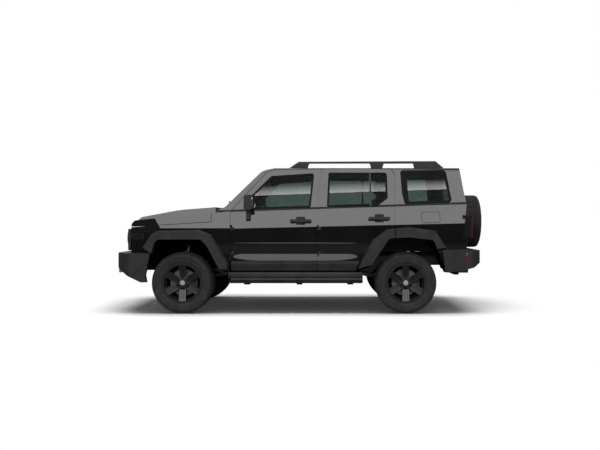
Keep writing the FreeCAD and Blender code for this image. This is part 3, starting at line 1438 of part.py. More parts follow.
def build_hinges():
    fixed, moving = [], {}
    gap = panel_gap
    for place, edge, back in (("front", front_seam_x, gap), ("rear", pillar_x - 5 + gap, gap - 3.4)):
        still, turning = door_hinges(edge, back)
        fixed += still + [mirrored(s) for s in still]
        moving[place] = turning
    still, turning = tailgate_hinges()
    fixed += still
    moving["tailgate"] = [leaf.cut(body_solid(0)) for leaf in turning]
    save("door_hinges", *fixed)
    return moving


if __name__ == "__main__":
    os.makedirs("parts", exist_ok=True)
    build_front()
    build_cowl()
    build_body()
    part_of_flare = build_flares()
    build_liners()
    build_frame()
    bumper_grille, fog_lamps, tow_hooks = build_front_bumper()
    save("tow_hooks", *tow_hooks)
    build_rear_bumper()
    build_face(bumper_grille, fog_lamps)
    build_tail_lamps()
    build_rails()
    build_steps()
    hinge_leaves = build_hinges()
    build_door_trim(part_of_flare, hinge_leaves)
    save("tailgate_trim", *build_spare(), *hinge_leaves["tailgate"])
    build_driveline()
    build_front_axle()
    build_front_suspension()
    build_rear_axle()
    build_tank_and_exhaust()
    build_knuckles()
    build_wheels()
    build_interior()
    build_steering_wheel()
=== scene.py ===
# %% [markdown]
# # An off-road 4x4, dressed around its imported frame
# The car's plates, wheels, doors and chassis come ready made from the frame.
# This file gives each of them a finish and adds the small pieces a studio
# picture shows: tread, nuts, lamps, seals, upholstery and the lights round it.

# %% Load the frame
import math
import json

import bmesh
import bpy
from mathutils import Matrix, Vector
from mathutils.bvhtree import BVHTree


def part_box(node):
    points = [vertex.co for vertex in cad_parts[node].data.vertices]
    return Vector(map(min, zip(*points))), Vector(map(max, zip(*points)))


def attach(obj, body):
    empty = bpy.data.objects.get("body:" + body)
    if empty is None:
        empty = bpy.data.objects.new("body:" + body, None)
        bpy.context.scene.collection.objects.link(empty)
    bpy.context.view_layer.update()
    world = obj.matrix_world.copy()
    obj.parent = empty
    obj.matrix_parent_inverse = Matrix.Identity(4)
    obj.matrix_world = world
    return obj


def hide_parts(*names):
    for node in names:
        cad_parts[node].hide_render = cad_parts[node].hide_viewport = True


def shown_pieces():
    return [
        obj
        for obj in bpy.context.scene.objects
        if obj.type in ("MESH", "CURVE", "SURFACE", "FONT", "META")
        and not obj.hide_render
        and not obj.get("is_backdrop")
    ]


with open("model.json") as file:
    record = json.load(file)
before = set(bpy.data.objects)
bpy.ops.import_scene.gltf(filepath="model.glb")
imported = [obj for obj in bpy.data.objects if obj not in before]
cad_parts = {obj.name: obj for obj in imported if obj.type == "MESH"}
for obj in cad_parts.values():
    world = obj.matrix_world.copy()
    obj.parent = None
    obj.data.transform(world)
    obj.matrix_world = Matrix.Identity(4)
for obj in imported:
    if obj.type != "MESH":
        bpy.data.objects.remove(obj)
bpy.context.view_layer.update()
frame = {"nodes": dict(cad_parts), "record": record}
nodes = frame["nodes"]

# %% [markdown]
# ## Stations along the car
# Every piece is placed in metres, in the same frame as the plates. The places
# that many pieces share could be typed in, but then they would go stale, so
# the wheels' stations are read from the boxes of the tyres, to a millimetre.

# %% Shared stations
SIDES = {"left": -1, "right": 1}
CABIN_CENTRE = Vector((0.5, 0.0, 1.3))
TYRE_SIZE = (0.376, 0.265, 0.232)
SPARE_SIZE = (0.352, 0.235, 0.218)


def middle_of(node):
    low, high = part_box(node)
    return [round((a + b) / 2, 3) for a, b in zip(low, high)]


FRONT_AXLE, WHEEL_Y, HUB_Z = middle_of("tyre_front_right")
REAR_AXLE = middle_of("tyre_rear_right")[0]
SPARE_BACK = round(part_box("spare_tyre")[1][0], 3)
SPARE = Vector((SPARE_BACK - SPARE_SIZE[1] / 2, 0, middle_of("spare_tyre")[2]))
WHEELS = {"front_left": (FRONT_AXLE, -1), "front_right": (FRONT_AXLE, 1),
          "rear_left": (REAR_AXLE, -1), "rear_right": (REAR_AXLE, 1)}
print("axles at", FRONT_AXLE, REAR_AXLE, "wheels at", WHEEL_Y, HUB_Z, "spare at", SPARE)

# %% [markdown]
# ## Materials
# A finish is a small tree of nodes. It could be painted on an unwrapped
# surface, but these patterns read Object coordinates instead, so that a grain
# or an orange peel keeps its size on every plate and needs no unwrapping.
# Numbers that are the same all over stay on the shader's own sockets.

# %% A material maker
def shader_of(mat):
    return mat.node_tree.nodes["Principled BSDF"]


def new_material(name, color, rough=0.5, metal=0.0, coat=0.0, specular=0.5):
    mat = bpy.data.materials.new(name)
    mat.use_nodes = True
    shader = shader_of(mat)
    shader.inputs["Base Color"].default_value = (*color, 1)
    shader.inputs["Roughness"].default_value = rough
    shader.inputs["Metallic"].default_value = metal
    shader.inputs["Coat Weight"].default_value = coat
    shader.inputs["Coat Roughness"].default_value = 0.02
    shader.inputs["Specular IOR Level"].default_value = specular
    return mat


def add(mat, kind, **values):
    """A new node; each value goes to the property or the socket of that name."""
    node = mat.node_tree.nodes.new(kind)
    for key, value in values.items():
        if hasattr(node, key):
            setattr(node, key, value)
        else:
            node.inputs[key.replace("_", " ")].default_value = value
    return node


def link(mat, source, output, target, socket):
    mat.node_tree.links.new(source.outputs[output], target.inputs[socket])


def math_node(mat, operation, *values):
    """A Math node; a value is a number or a (node, output) pair."""
    node = add(mat, "ShaderNodeMath", operation=operation)
    for index, value in enumerate(values):
        if isinstance(value, tuple):
            link(mat, *value, node, index)
        else:
            node.inputs[index].default_value = value
    return node, 0


# %% [markdown]
# ### Grain, mottle and two finishes on one piece
# Three recipes serve nearly every material. Grain is a bump from a fine
# pattern, mottle a slow change of colour, and a mask by place gives one solid
# two finishes, as where a lamp's bowl and its black bezel are one piece.

# %% Surface recipes
def grain(mat, scale, strength, distance, detail=4.0, kind="noise"):
    """A fine unevenness of the surface, in the bump only."""
    place = add(mat, "ShaderNodeTexCoord")
    if kind == "noise":
        pattern = add(mat, "ShaderNodeTexNoise", Scale=scale, Detail=detail)
        output = "Fac"
    else:
        pattern = add(mat, "ShaderNodeTexVoronoi", Scale=scale)
        output = "Distance"
    bump = add(mat, "ShaderNodeBump", Strength=strength, Distance=distance)
    link(mat, place, "Object", pattern, "Vector")
    link(mat, pattern, output, bump, "Height")
    link(mat, bump, "Normal", shader_of(mat), "Normal")


def mottle(mat, scale, color_a, color_b, low=0.4, high=0.6):
    """A slow change between two colours across the piece."""
    place = add(mat, "ShaderNodeTexCoord")
    noise = add(mat, "ShaderNodeTexNoise", Scale=scale, Detail=3.0)
    ramp = add(mat, "ShaderNodeValToRGB")
    for stop, position, color in zip(ramp.color_ramp.elements, (low, high), (color_a, color_b)):
        stop.position = position
        stop.color = (*color, 1)
    link(mat, place, "Object", noise, "Vector")
    link(mat, noise, "Fac", ramp, "Fac")
    link(mat, ramp, "Color", shader_of(mat), "Base Color")


def two_finishes(mat, mask, color_a, color_b, rough, metal):
    """One material that is finish A where the mask is 0 and B where it is 1."""
    shader = shader_of(mat)
    blend = add(mat, "ShaderNodeMix", data_type="RGBA")
    link(mat, *mask, blend, 0)
    blend.inputs[6].default_value = (*color_a, 1)
    blend.inputs[7].default_value = (*color_b, 1)
    link(mat, blend, 2, shader, "Base Color")
    for socket, pair in (("Roughness", rough), ("Metallic", metal)):
        level = add(mat, "ShaderNodeMapRange", To_Min=pair[0], To_Max=pair[1])
        link(mat, *mask, level, "Value")
        link(mat, level, "Result", shader, socket)


def object_axes(mat):
    place = add(mat, "ShaderNodeTexCoord")
    split = add(mat, "ShaderNodeSeparateXYZ")
    link(mat, place, "Object", split, "Vector")
    return (split, "X"), (split, "Y"), (split, "Z")


def inside_circle(mat, across, up, centre, radius):
    """A mask: 1 where a point lies within a radius of a centre in a plane."""
    du = math_node(mat, "SUBTRACT", across, centre[0])
    dv = math_node(mat, "SUBTRACT", up, centre[1])
    squares = math_node(mat, "ADD", math_node(mat, "MULTIPLY", du, du), math_node(mat, "MULTIPLY", dv, dv))
    return math_node(mat, "LESS_THAN", squares, radius ** 2)


# %% [markdown]
# ### Paint
# The body is solid black under clear lacquer. The lacquer's own gloss carries
# the picture of the studio, and a very shallow orange peel keeps that picture
# from looking like a mirror's. A trace of blue in the base is the pigment's.

# %% Black paint
paint = new_material("black_lacquer", (0.004, 0.004, 0.0045), rough=0.35, coat=1.0, specular=0.03)
mottle(paint, 3.0, (0.0035, 0.0035, 0.004), (0.0048, 0.0048, 0.0055))
grain(paint, 70.0, 0.012, 0.002)

# %% [markdown]
# ### Glass
# Light crosses two panes on its way through the cabin, so each pane keeps
# about the square root of the tint that the eye sees through both.

# %% Glass
glass = new_material("smoked_glass", (0.23, 0.29, 0.26), rough=0.0)
shader_of(glass).inputs["Transmission Weight"].default_value = 1.0
shader_of(glass).inputs["IOR"].default_value = 1.5
mottle(glass, 2.0, (0.225, 0.285, 0.255), (0.235, 0.295, 0.265))
clear = new_material("lamp_cover", (0.92, 0.94, 0.95), rough=0.01)
shader_of(clear).inputs["Transmission Weight"].default_value = 1.0
grain(clear, 60.0, 0.01, 0.0004)

# %% [markdown]
# ### Plastics
# Bumpers, flares and steps are moulded with a fine leathery grain. A fast
# noise in the bump gives the grain and a slow one varies the grey a little,
# as the flow of the plastic does.

# %% Plastics
plastic = new_material("grained_plastic", (0.012, 0.012, 0.0125), rough=0.55, specular=0.35)
mottle(plastic, 7.0, (0.010, 0.010, 0.0105), (0.015, 0.015, 0.0155))
grain(plastic, 900.0, 0.35, 0.0006)
dark_gloss = new_material("piano_black", (0.004, 0.004, 0.005), rough=0.1, coat=0.6)
grain(dark_gloss, 60.0, 0.01, 0.001)
cabin_plastic = new_material("dashboard_skin", (0.030, 0.030, 0.032), rough=0.6)
mottle(cabin_plastic, 9.0, (0.026, 0.026, 0.028), (0.034, 0.034, 0.036))
grain(cabin_plastic, 420.0, 0.3, 0.0008, kind="cells")
# The liners' near-black, darker than the grained plastic, is painted shade: it keeps the arches black.
liner_black_painted_shade = new_material("liner_black_painted_shade", (0.0015, 0.0015, 0.0015), rough=0.95, specular=0.03)
grain(liner_black_painted_shade, 300.0, 0.4, 0.001)
seal_rubber = new_material("seal_rubber", (0.002, 0.002, 0.002), rough=0.6, specular=0.12)
grain(seal_rubber, 700.0, 0.15, 0.0004)
milky = new_material("light_guide", (0.75, 0.77, 0.80), rough=0.25, coat=0.4)
grain(milky, 500.0, 0.05, 0.0003)
screen_glass = new_material("screen_glass", (0.003, 0.004, 0.006), rough=0.05, coat=1.0)
grain(screen_glass, 40.0, 0.005, 0.0005)

# %% [markdown]
# ### Metals, rubber and leather
# The frame and axles are painted, so they are not quite metals; the exhaust is
# bare. Rubber is rough with a faint dusty bloom, and leather has a cell pattern
# in its bump and a little sheen.

# %% Metals, rubber and leather
chassis = new_material("chassis_black", (0.013, 0.013, 0.014), rough=0.5)
mottle(chassis, 12.0, (0.011, 0.011, 0.012), (0.018, 0.017, 0.016))
grain(chassis, 300.0, 0.25, 0.0015)
bare_steel = new_material("zinc_steel", (0.42, 0.42, 0.43), rough=0.35, metal=1.0)
grain(bare_steel, 500.0, 0.15, 0.0006)
cast = new_material("cast_alloy", (0.30, 0.30, 0.31), rough=0.5, metal=1.0)
grain(cast, 260.0, 0.4, 0.001)
pipe = new_material("exhaust_steel", (0.25, 0.23, 0.21), rough=0.4, metal=1.0)
mottle(pipe, 5.0, (0.27, 0.25, 0.23), (0.20, 0.17, 0.14))
grain(pipe, 120.0, 0.2, 0.001)
chrome = new_material("bright_trim", (0.40, 0.41, 0.42), rough=0.18, metal=1.0)
grain(chrome, 300.0, 0.02, 0.0003)
mirror = new_material("mirror_glass", (0.80, 0.82, 0.83), rough=0.02, metal=1.0)
grain(mirror, 5.0, 0.004, 0.0005, detail=1.0)
rubber = new_material("tyre_rubber", (0.014, 0.014, 0.014), rough=0.75, specular=0.3)
mottle(rubber, 14.0, (0.012, 0.012, 0.012), (0.019, 0.0185, 0.018))
grain(rubber, 500.0, 0.3, 0.0007)
leather = new_material("seat_leather", (0.030, 0.028, 0.026), rough=0.5)
mottle(leather, 11.0, (0.026, 0.024, 0.022), (0.037, 0.034, 0.031))
grain(leather, 520.0, 0.45, 0.0009, kind="cells")
shader_of(leather).inputs["Sheen Weight"].default_value = 0.15

# %% [markdown]
# ### Wheels with their discs
# The brake disc belongs to the same turning piece as the wheel, so one
# material carries both: satin black paint outside, bare iron where the piece
# lies inside the disc's radius and behind the spokes.

# %% Wheel paint and disc iron
DISC_RADIUS = 0.168
DISC_FACE = WHEEL_Y + 0.0115
WHEEL_BLACK = (0.010, 0.010, 0.011)
DISC_IRON = (0.22, 0.22, 0.23)


def wheel_paint(name, axle_x):
    mat = new_material(name, WHEEL_BLACK, rough=0.35, coat=0.25)
    x, y, z = object_axes(mat)
    near = inside_circle(mat, x, z, (axle_x, HUB_Z), DISC_RADIUS)
    behind = math_node(mat, "LESS_THAN", math_node(mat, "ABSOLUTE", y), DISC_FACE)
    mask = math_node(mat, "MULTIPLY", near, behind)
    two_finishes(mat, mask, WHEEL_BLACK, DISC_IRON, (0.35, 0.38), (0.0, 1.0))
    grain(mat, 700.0, 0.08, 0.0005)
    return mat


rim_front = wheel_paint("wheel_black_front", FRONT_AXLE)
rim_rear = wheel_paint("wheel_black_rear", REAR_AXLE)
rim_black = new_material("wheel_black", WHEEL_BLACK, rough=0.35, coat=0.25)
grain(rim_black, 700.0, 0.08, 0.0005)

# %% [markdown]
# ### Lamps
# The tail lamp is a black housing with a red lens along its rear edge, seen
# from the side as a thin red line. In front, a polished bowl sits in a black
# bezel. Both are one solid each, so a mask by place parts the finishes.

# %% Lamp finishes
LENS_EDGE = 2.108
LAMP_CENTRE = (0.640, 0.925)
BEZEL_RADIUS = 0.098

red_lens = new_material("tail_lamp", (0.004, 0.004, 0.005), rough=0.1, coat=1.0)
x, y, z = object_axes(red_lens)
two_finishes(red_lens, math_node(red_lens, "GREATER_THAN", x, LENS_EDGE), (0.004, 0.004, 0.005),
             (0.09, 0.003, 0.004), (0.12, 0.08), (0.0, 0.0))
grain(red_lens, 240.0, 0.05, 0.001)
reflector_red = new_material("reflector_red", (0.16, 0.006, 0.008), rough=0.2, coat=0.8)
grain(reflector_red, 300.0, 0.5, 0.001, kind="cells")

bowl = new_material("lamp_bowl", (0.5, 0.5, 0.5), rough=0.15, metal=1.0)
x, y, z = object_axes(bowl)
in_bowl = inside_circle(bowl, math_node(bowl, "ABSOLUTE", y), z, LAMP_CENTRE, BEZEL_RADIUS)
two_finishes(bowl, in_bowl, (0.006, 0.006, 0.007), (0.45, 0.46, 0.48), (0.18, 0.14), (0.0, 1.0))
grain(bowl, 200.0, 0.03, 0.0004)

# %% [markdown]
# ### Handing the finishes out
# The record names a slot for each piece of the frame. A few pieces then get
# a finish of their own: hinges are painted over with the body, arch liners
# are dull and nearly black, a painted shade that keeps the arches dark, and
# each pair of wheels has its own disc mask.

# %% Finishes for the frame's pieces
finishes = {"black_paint": paint, "window_glass": glass, "dark_plastic": plastic, "bare_steel": bare_steel,
            "chassis_steel": chassis, "cast_alloy": cast, "tyre_rubber": rubber, "rim_alloy": rim_black,
            "exhaust_steel": pipe, "tank_plastic": cabin_plastic, "lamp_glass": bowl, "red_lens": red_lens,
            "cabin_plastic": cabin_plastic, "seat_leather": leather}
own_finish = {"door_hinges": paint, "arch_liners": liner_black_painted_shade, "rim_front_left": rim_front,
              "rim_front_right": rim_front, "rim_rear_left": rim_rear, "rim_rear_right": rim_rear}
for part in frame["record"]["subparts"]:
    piece = nodes[part["node"]]
    piece.data.materials.clear()
    piece.data.materials.append(own_finish.get(part["node"], finishes[part["material_slot"]]))
print("materials:", len(bpy.data.materials))

# %% [markdown]
# ## Helpers for new pieces
# Each new piece is a bmesh that is cleaned, made an object and hung on its
# body. Boxes with eased edges, turned profiles and rings of copies are the
# shapes that come back most, so each of them is written once.

# %% Finishing a piece
def finish_piece(name, bm, material, body, angle=None):
    """Clean a mesh, make its object, hang it on its body and smooth it up to an angle."""
    bmesh.ops.remove_doubles(bm, verts=bm.verts, dist=0.00002)
    bmesh.ops.recalc_face_normals(bm, faces=bm.faces)
    mesh = bpy.data.meshes.new(name)
    bm.to_mesh(mesh)
    bm.free()
    piece = bpy.data.objects.new(name, mesh)
    bpy.context.scene.collection.objects.link(piece)
    mesh.materials.append(material)
    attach(piece, body)
    if angle:
        mesh.shade_smooth()
        mesh.set_sharp_from_angle(angle=math.radians(angle))
    print(name, len(mesh.polygons), "faces, on", body)
    return piece


def thicken(bm, push):
    """Give a flat face or ring a thickness: a copy of it is pushed away and joined at its edges."""
    grown = bmesh.ops.extrude_face_region(bm, geom=bm.faces[:], use_keep_orig=True)["geom"]
    bmesh.ops.translate(bm, vec=push, verts=[item for item in grown if isinstance(item, bmesh.types.BMVert)])


# %% [markdown]
# ### Turned shapes, blocks and rings
# Most small pieces of a car are turned, pressed or cast. They could be made by
# the operators of edit mode, but a bmesh needs no selection and gives the same
# mesh each time. So there is one helper for each kind, and one for copies.

# %% Turned shapes, blocks and rings of copies
def spin_profile(bm, profile, steps, closed=True):
    """Turn a (radius, across) profile about the Y axis."""
    verts = [bm.verts.new((r, y, 0)) for r, y in profile]
    first = 0 if closed else 1
    edges = [bm.edges.new((verts[i - 1], verts[i])) for i in range(first, len(verts))]
    bmesh.ops.spin(bm, geom=verts + edges, cent=(0, 0, 0), axis=(0, 1, 0), angle=2 * math.pi, steps=steps,
                   use_merge=True)


def add_block(bm, size, place, turn=0.0, lean=0.0, bevel=0.0):
    """A box of a size at a place, turned about its height, then leaned, its top edges eased."""
    verts = bmesh.ops.create_cube(bm, size=1.0)["verts"]
    bmesh.ops.scale(bm, vec=size, verts=verts)
    if bevel:
        faces = {face for vert in verts for face in vert.link_faces}
        top = [edge for edge in {e for f in faces for e in f.edges} if all(v.co.z > 0 for v in edge.verts)]
        eased = bmesh.ops.bevel(bm, geom=top, offset=bevel, offset_type="OFFSET", segments=1, profile=0.5,
                                affect="EDGES", material=-1)
        verts = list({v for f in eased["faces"] for v in f.verts} | {v for v in verts if v.is_valid})
    matrix = Matrix.Translation(place) @ Matrix.Rotation(lean, 4, "X") @ Matrix.Rotation(turn, 4, "Z")
    bmesh.ops.transform(bm, matrix=matrix, verts=verts)
    return verts


def rounded_block(size, place, radius, segments=3):
    """A new mesh: a box with all its edges rounded."""
    bm = bmesh.new()
    bmesh.ops.create_cube(bm, size=1.0)
    bmesh.ops.scale(bm, vec=size, verts=bm.verts)
    bmesh.ops.bevel(bm, geom=bm.edges[:], offset=radius, offset_type="OFFSET", segments=segments,
                    profile=0.5, affect="EDGES", material=-1)
    bmesh.ops.translate(bm, vec=place, verts=bm.verts)
    return bm


def rotate(bm, matrix, verts=None):
    bmesh.ops.rotate(bm, cent=(0, 0, 0), matrix=matrix, verts=verts or bm.verts)


def copy_around(bm, verts, count):
    """Copy geometry round the Y axis."""
    faces = list({face for vert in verts for face in vert.link_faces})
    for i in range(1, count):
        twin = bmesh.ops.duplicate(bm, geom=faces)
        fresh = [item for item in twin["geom"] if isinstance(item, bmesh.types.BMVert)]
        rotate(bm, Matrix.Rotation(2 * math.pi * i / count, 3, "Y"), fresh)


def face_forward(bm, place, sign=-1):
    """Turn a mesh made about +Y to look along X (forward is -X) and place it."""
    rotate(bm, Matrix.Rotation(-sign * math.pi / 2, 3, "Z"))
    bmesh.ops.translate(bm, vec=place, verts=bm.verts)


def on_side(place, sign):
    """A place that is given for the right side, moved to the side of a sign."""
    return (place[0], sign * place[1], place[2])


def place_on_wheel(bm, x, side):
    """Move a mesh made about the Y axis, outer side +Y, to a wheel's place."""
    if side < 0:
        rotate(bm, Matrix.Rotation(math.pi, 3, "Z"))
    bmesh.ops.translate(bm, vec=(x, side * WHEEL_Y, HUB_Z), verts=bm.verts)


# %% [markdown]
# ## Tyres
# A tyre is a turned body with rows of rubber blocks moulded on it. The tread
# could be a bump, but its outline shows against the white paper, so it is
# cut in real blocks. The carcass is one profile spun about the axle; each
# block is a small wedge, bevelled once and copied round, which stays light.

# %% Carcass profile
TREAD_DEPTH = 0.010
CARCASS_STEPS = 96


def carcass(bm, base, half, bead):
    """The tyre without its blocks: base is its radius there, half is half its width."""
    side = [(bead + 0.001, half - 0.027), (bead + 0.012, half - 0.024), (bead + 0.020, half - 0.012),
            (bead + 0.036, half - 0.005), (bead + 0.058, half - 0.001), (bead + 0.062, half - 0.0045),
            (bead + 0.082, half - 0.003), (bead + 0.086, half - 0.0005), (base - 0.030, half - 0.003),
            (base - 0.012, half - 0.012), (base - 0.002, half - 0.030), (base, half - 0.045)]
    inner = [(bead + 0.001, half - 0.040), (bead + 0.05, half - 0.016), (base - 0.04, half - 0.018),
             (base - 0.014, half - 0.045)]
    profile = side + [(r, -y) for r, y in reversed(side)]
    profile += [(r, -y) for r, y in inner] + [(r, y) for r, y in reversed(inner)]
    spin_profile(bm, profile, CARCASS_STEPS)


# %% [markdown]
# ### Tread blocks
# The tread is five rows of blocks, with lugs that run over the shoulder. They
# could be modelled one by one; here a row is one block, copied round by its
# pitch. Every second row is turned by half a pitch, so the grooves interlock.

# %% Tread and shoulder blocks
PITCHES = 54
BLOCK_HEIGHT = 0.018
BLOCK_BEVEL = 0.0012
DRAWN_WIDTH = 0.265
HALF_PITCH = Matrix.Rotation(math.pi / PITCHES, 3, "Y")
# Each row is its place across, its width, its share of the pitch and its turn.
TREAD_ROWS = [(-0.076, 0.034, 0.72, 0.10), (-0.038, 0.034, 0.66, -0.30), (0.0, 0.032, 0.70, 0.34),
              (0.038, 0.034, 0.66, -0.30), (0.076, 0.034, 0.72, 0.10)]
# Long and short shoulder blocks take turns; each is its shift, its share and its drop down the wall.
SHOULDERS = ((0, 0.80, 0.030), (1, 0.55, 0.020))


def tyre_mesh(radius, width, bead):
    half = width / 2
    base = radius - TREAD_DEPTH
    bm = bmesh.new()
    carcass(bm, base, half, bead)
    step = 2 * math.pi * radius / PITCHES
    scale = width / DRAWN_WIDTH
    for index, (across, wide, share, turn) in enumerate(TREAD_ROWS):
        place = (0, across * scale, base + TREAD_DEPTH - BLOCK_HEIGHT / 2)
        verts = add_block(bm, (step * share, wide * scale, BLOCK_HEIGHT), place, turn=turn, bevel=BLOCK_BEVEL)
        if index % 2:
            rotate(bm, HALF_PITCH, verts)
        copy_around(bm, verts, PITCHES)
    for side in (-1, 1):
        for shift, length, drop in SHOULDERS:
            long = step * length * 0.6
            verts = add_block(bm, (long, 0.024, 0.012), (0, side * (half - 0.0245), base - 0.0005),
                              lean=-side * 0.32, bevel=BLOCK_BEVEL)
            verts += add_block(bm, (long, 0.006, drop), (0, side * (half - 0.0055), base - 0.012 - drop / 2),
                               lean=side * 0.12, bevel=0.001)
            if shift:
                rotate(bm, HALF_PITCH, verts)
            copy_around(bm, verts, PITCHES)
    return bm


# %% [markdown]
# ### Four tyres and the spare
# Four tyres stand on the ground, and a slightly smaller one hangs on the
# tailgate. They could be copies of one mesh, but the spare has other sizes, so
# the function makes each one. Each takes the place of the frame's plain tyre.

# %% Four tyres and the spare
for corner, (x, side) in WHEELS.items():
    bm = tyre_mesh(*TYRE_SIZE)
    place_on_wheel(bm, x, side)
    tyre = finish_piece("tread_" + corner, bm, rubber, "wheel_" + corner, 30)
    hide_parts("tyre_" + corner)

bm = tyre_mesh(*SPARE_SIZE)
face_forward(bm, SPARE, sign=1)
spare = finish_piece("tread_spare", bm, rubber, "tailgate", 30)
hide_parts("spare_tyre")

# %% [markdown]
# ## Wheel fittings
# Six nuts and a centre cap finish each wheel. They are tiny, but they are
# what the eye goes to on a black wheel. A nut is a six-sided cone on a round
# collar; the cap is turned from a profile, and is bare of any badge.

# %% Nuts and caps
STUD_COUNT = 6
STUD_CIRCLE = 0.06985
NUT_STATION = 0.066
COLLAR_DROP = 0.009
CAP_STATION = 0.088
cap_profile = [(0.0, 0.0), (0.0, 0.008), (0.016, 0.0085), (0.018, 0.007), (0.029, 0.006), (0.031, 0.004),
               (0.031, 0.0)]
nut_steel = new_material("black_chrome", (0.07, 0.07, 0.075), rough=0.25, metal=1.0)
grain(nut_steel, 400.0, 0.05, 0.0004)
cap_grey = new_material("cap_grey", (0.34, 0.34, 0.35), rough=0.35, metal=0.4)
grain(cap_grey, 500.0, 0.05, 0.0004)


def wheel_nuts():
    bm = bmesh.new()
    for i in range(STUD_COUNT):
        angle = 2 * math.pi * (i + 0.5) / STUD_COUNT
        place = Vector((STUD_CIRCLE * math.cos(angle), NUT_STATION, STUD_CIRCLE * math.sin(angle)))
        head = bmesh.ops.create_cone(bm, cap_ends=True, segments=6, radius1=0.0115, radius2=0.0105,
                                     depth=0.020)["verts"]
        collar = bmesh.ops.create_cone(bm, cap_ends=True, segments=20, radius1=0.0138, radius2=0.0125,
                                       depth=0.004)["verts"]
        bmesh.ops.translate(bm, vec=(0, 0, -COLLAR_DROP), verts=collar)
        rotate(bm, Matrix.Rotation(-math.pi / 2, 3, "X"), head + collar)
        bmesh.ops.translate(bm, vec=place, verts=head + collar)
    return bm


for corner, (x, side) in WHEELS.items():
    bm = wheel_nuts()
    place_on_wheel(bm, x, side)
    finish_piece("nuts_" + corner, bm, nut_steel, "wheel_" + corner, 30)
    bm = bmesh.new()
    spin_profile(bm, [(r, CAP_STATION + y) for r, y in cap_profile], 40, closed=False)
    place_on_wheel(bm, x, side)
    finish_piece("cap_" + corner, bm, cap_grey, "wheel_" + corner, 30)

# %% [markdown]
# ## Dust shields
# Behind each disc a pressed steel shield keeps dirt off and closes the view
# through the spokes. It stands on the knuckle, or at the back on the axle, so
# the wheel turns round it. A short profile is spun, with a rolled lip.

# %% Dust shields
SHIELD_INSET = -0.032
SHIELD_BODIES = {"front_left": "knuckle_left", "front_right": "knuckle_right", "rear_left": "body",
                 "rear_right": "body"}
shield_profile = [(0.050, 0.0), (0.120, 0.0), (0.130, -0.004), (0.198, -0.004), (0.205, 0.002),
                  (0.207, 0.002), (0.200, -0.0055), (0.129, -0.0055), (0.119, -0.0015), (0.050, -0.0015)]
shield_black = new_material("shield_black", (0.004, 0.004, 0.004), rough=0.8, specular=0.1)
grain(shield_black, 200.0, 0.3, 0.001)
for corner, (x, side) in WHEELS.items():
    bm = bmesh.new()
    spin_profile(bm, [(r, SHIELD_INSET + y) for r, y in shield_profile], 48)
    place_on_wheel(bm, x, side)
    finish_piece("dust_shield_" + corner, bm, shield_black, SHIELD_BODIES[corner], 40)

# %% [markdown]
# ## Splash panels and sill skirts
# Inside each front arch a flat panel along the chassis rail keeps spray out of
# the engine bay. Between door sill and side step a moulded skirt closes the
# side, as the photograph shows. Both are one outline, pulled out, and the
# skirt's edges are bevelled.
# The panel's near-black is painted shade, a dark sheet that closes the view through the arch.

# %% Panels from outlines
SPLASH_Y = 0.4365
SPLASH_THICKNESS = 0.004
SKIRT_ENDS = (-0.885, 0.768)
splash_outline = [(-1.985, 0.520), (-1.030, 0.520), (-1.030, 0.760), (-1.110, 0.900), (-1.800, 0.900),
                  (-1.985, 0.740)]
skirt_outline = [(0.790, 0.441), (0.912, 0.441), (0.914, 0.462), (0.898, 0.470), (0.898, 0.508),
                 (0.790, 0.508)]


def pulled_outline(points, pull, bevel=0.0):
    """A flat outline, pulled along a vector; its edges may be rounded."""
    bm = bmesh.new()
    bm.faces.new([bm.verts.new(point) for point in points])
    thicken(bm, pull)
    if bevel:
        bmesh.ops.recalc_face_normals(bm, faces=bm.faces)
        bmesh.ops.bevel(bm, geom=bm.edges[:], offset=bevel, offset_type="OFFSET", segments=2, profile=0.5,
                        affect="EDGES", material=-1)
    return bm


for side_name, sign in SIDES.items():
    bm = pulled_outline([(x, 0, z) for x, z in splash_outline], Vector((0, SPLASH_THICKNESS, 0)))
    bmesh.ops.translate(bm, vec=(0, sign * SPLASH_Y - SPLASH_THICKNESS / 2, 0), verts=bm.verts)
    finish_piece("splash_panel_" + side_name, bm, liner_black_painted_shade, "body", 30)
    bm = pulled_outline([(0, sign * y, z) for y, z in skirt_outline],
                        Vector((SKIRT_ENDS[1] - SKIRT_ENDS[0], 0, 0)), 0.003)
    bmesh.ops.translate(bm, vec=(SKIRT_ENDS[0], 0, 0), verts=bm.verts)
    finish_piece("sill_skirt_" + side_name, bm, plastic, "body", 30)

# %% [markdown]
# ## Window seals
# Each pane has a black band printed and moulded round its edge. The band has
# the pane's own outline, so it is cut from the pane: the outer face is kept,
# inset, its middle deleted, and the ring that is left is given a thickness.
# The quarter window's surround is wider than its pane, above all in front, so
# its ring grows outwards from the rim of the pane instead.

# %% Cutting a band from a pane
BAND_PROUD = 0.002


def outer_pane(node, wanted):
    """A new mesh with only those large faces of a pane that look away from the cabin."""
    bm = bmesh.new()
    bm.from_mesh(nodes[node].data)
    bmesh.ops.remove_doubles(bm, verts=bm.verts, dist=0.00001)
    bmesh.ops.dissolve_limit(bm, angle_limit=math.radians(1.0), verts=bm.verts, edges=bm.edges)
    bm.normal_update()
    kept = [face for face in bm.faces
            if face.calc_area() > 0.05 and (face.calc_center_median() - CABIN_CENTRE).dot(face.normal) > 0
            and wanted(face)]
    bmesh.ops.delete(bm, geom=[face for face in bm.faces if face not in kept], context="FACES")
    return bm, kept


def window_band(name, node, body, width, wanted=lambda face: True):
    bm, kept = outer_pane(node, wanted)
    out = sum((face.normal * face.calc_area() for face in kept), Vector()).normalized()
    ring = bmesh.ops.inset_region(bm, faces=kept, thickness=width, use_even_offset=True,
                                  use_boundary=True)["faces"]
    bmesh.ops.delete(bm, geom=[face for face in bm.faces if face not in ring], context="FACES")
    thicken(bm, out * BAND_PROUD)
    finish_piece(name, bm, seal_rubber, body, 40)


# %% [markdown]
# ### The surround of the quarter window
# The black surround of the last side window is wider than its pane. It could
# be drawn point by point, but then it wouldn't follow the pane. The rim of the
# pane is pulled outwards instead, and its front and foot a little further.

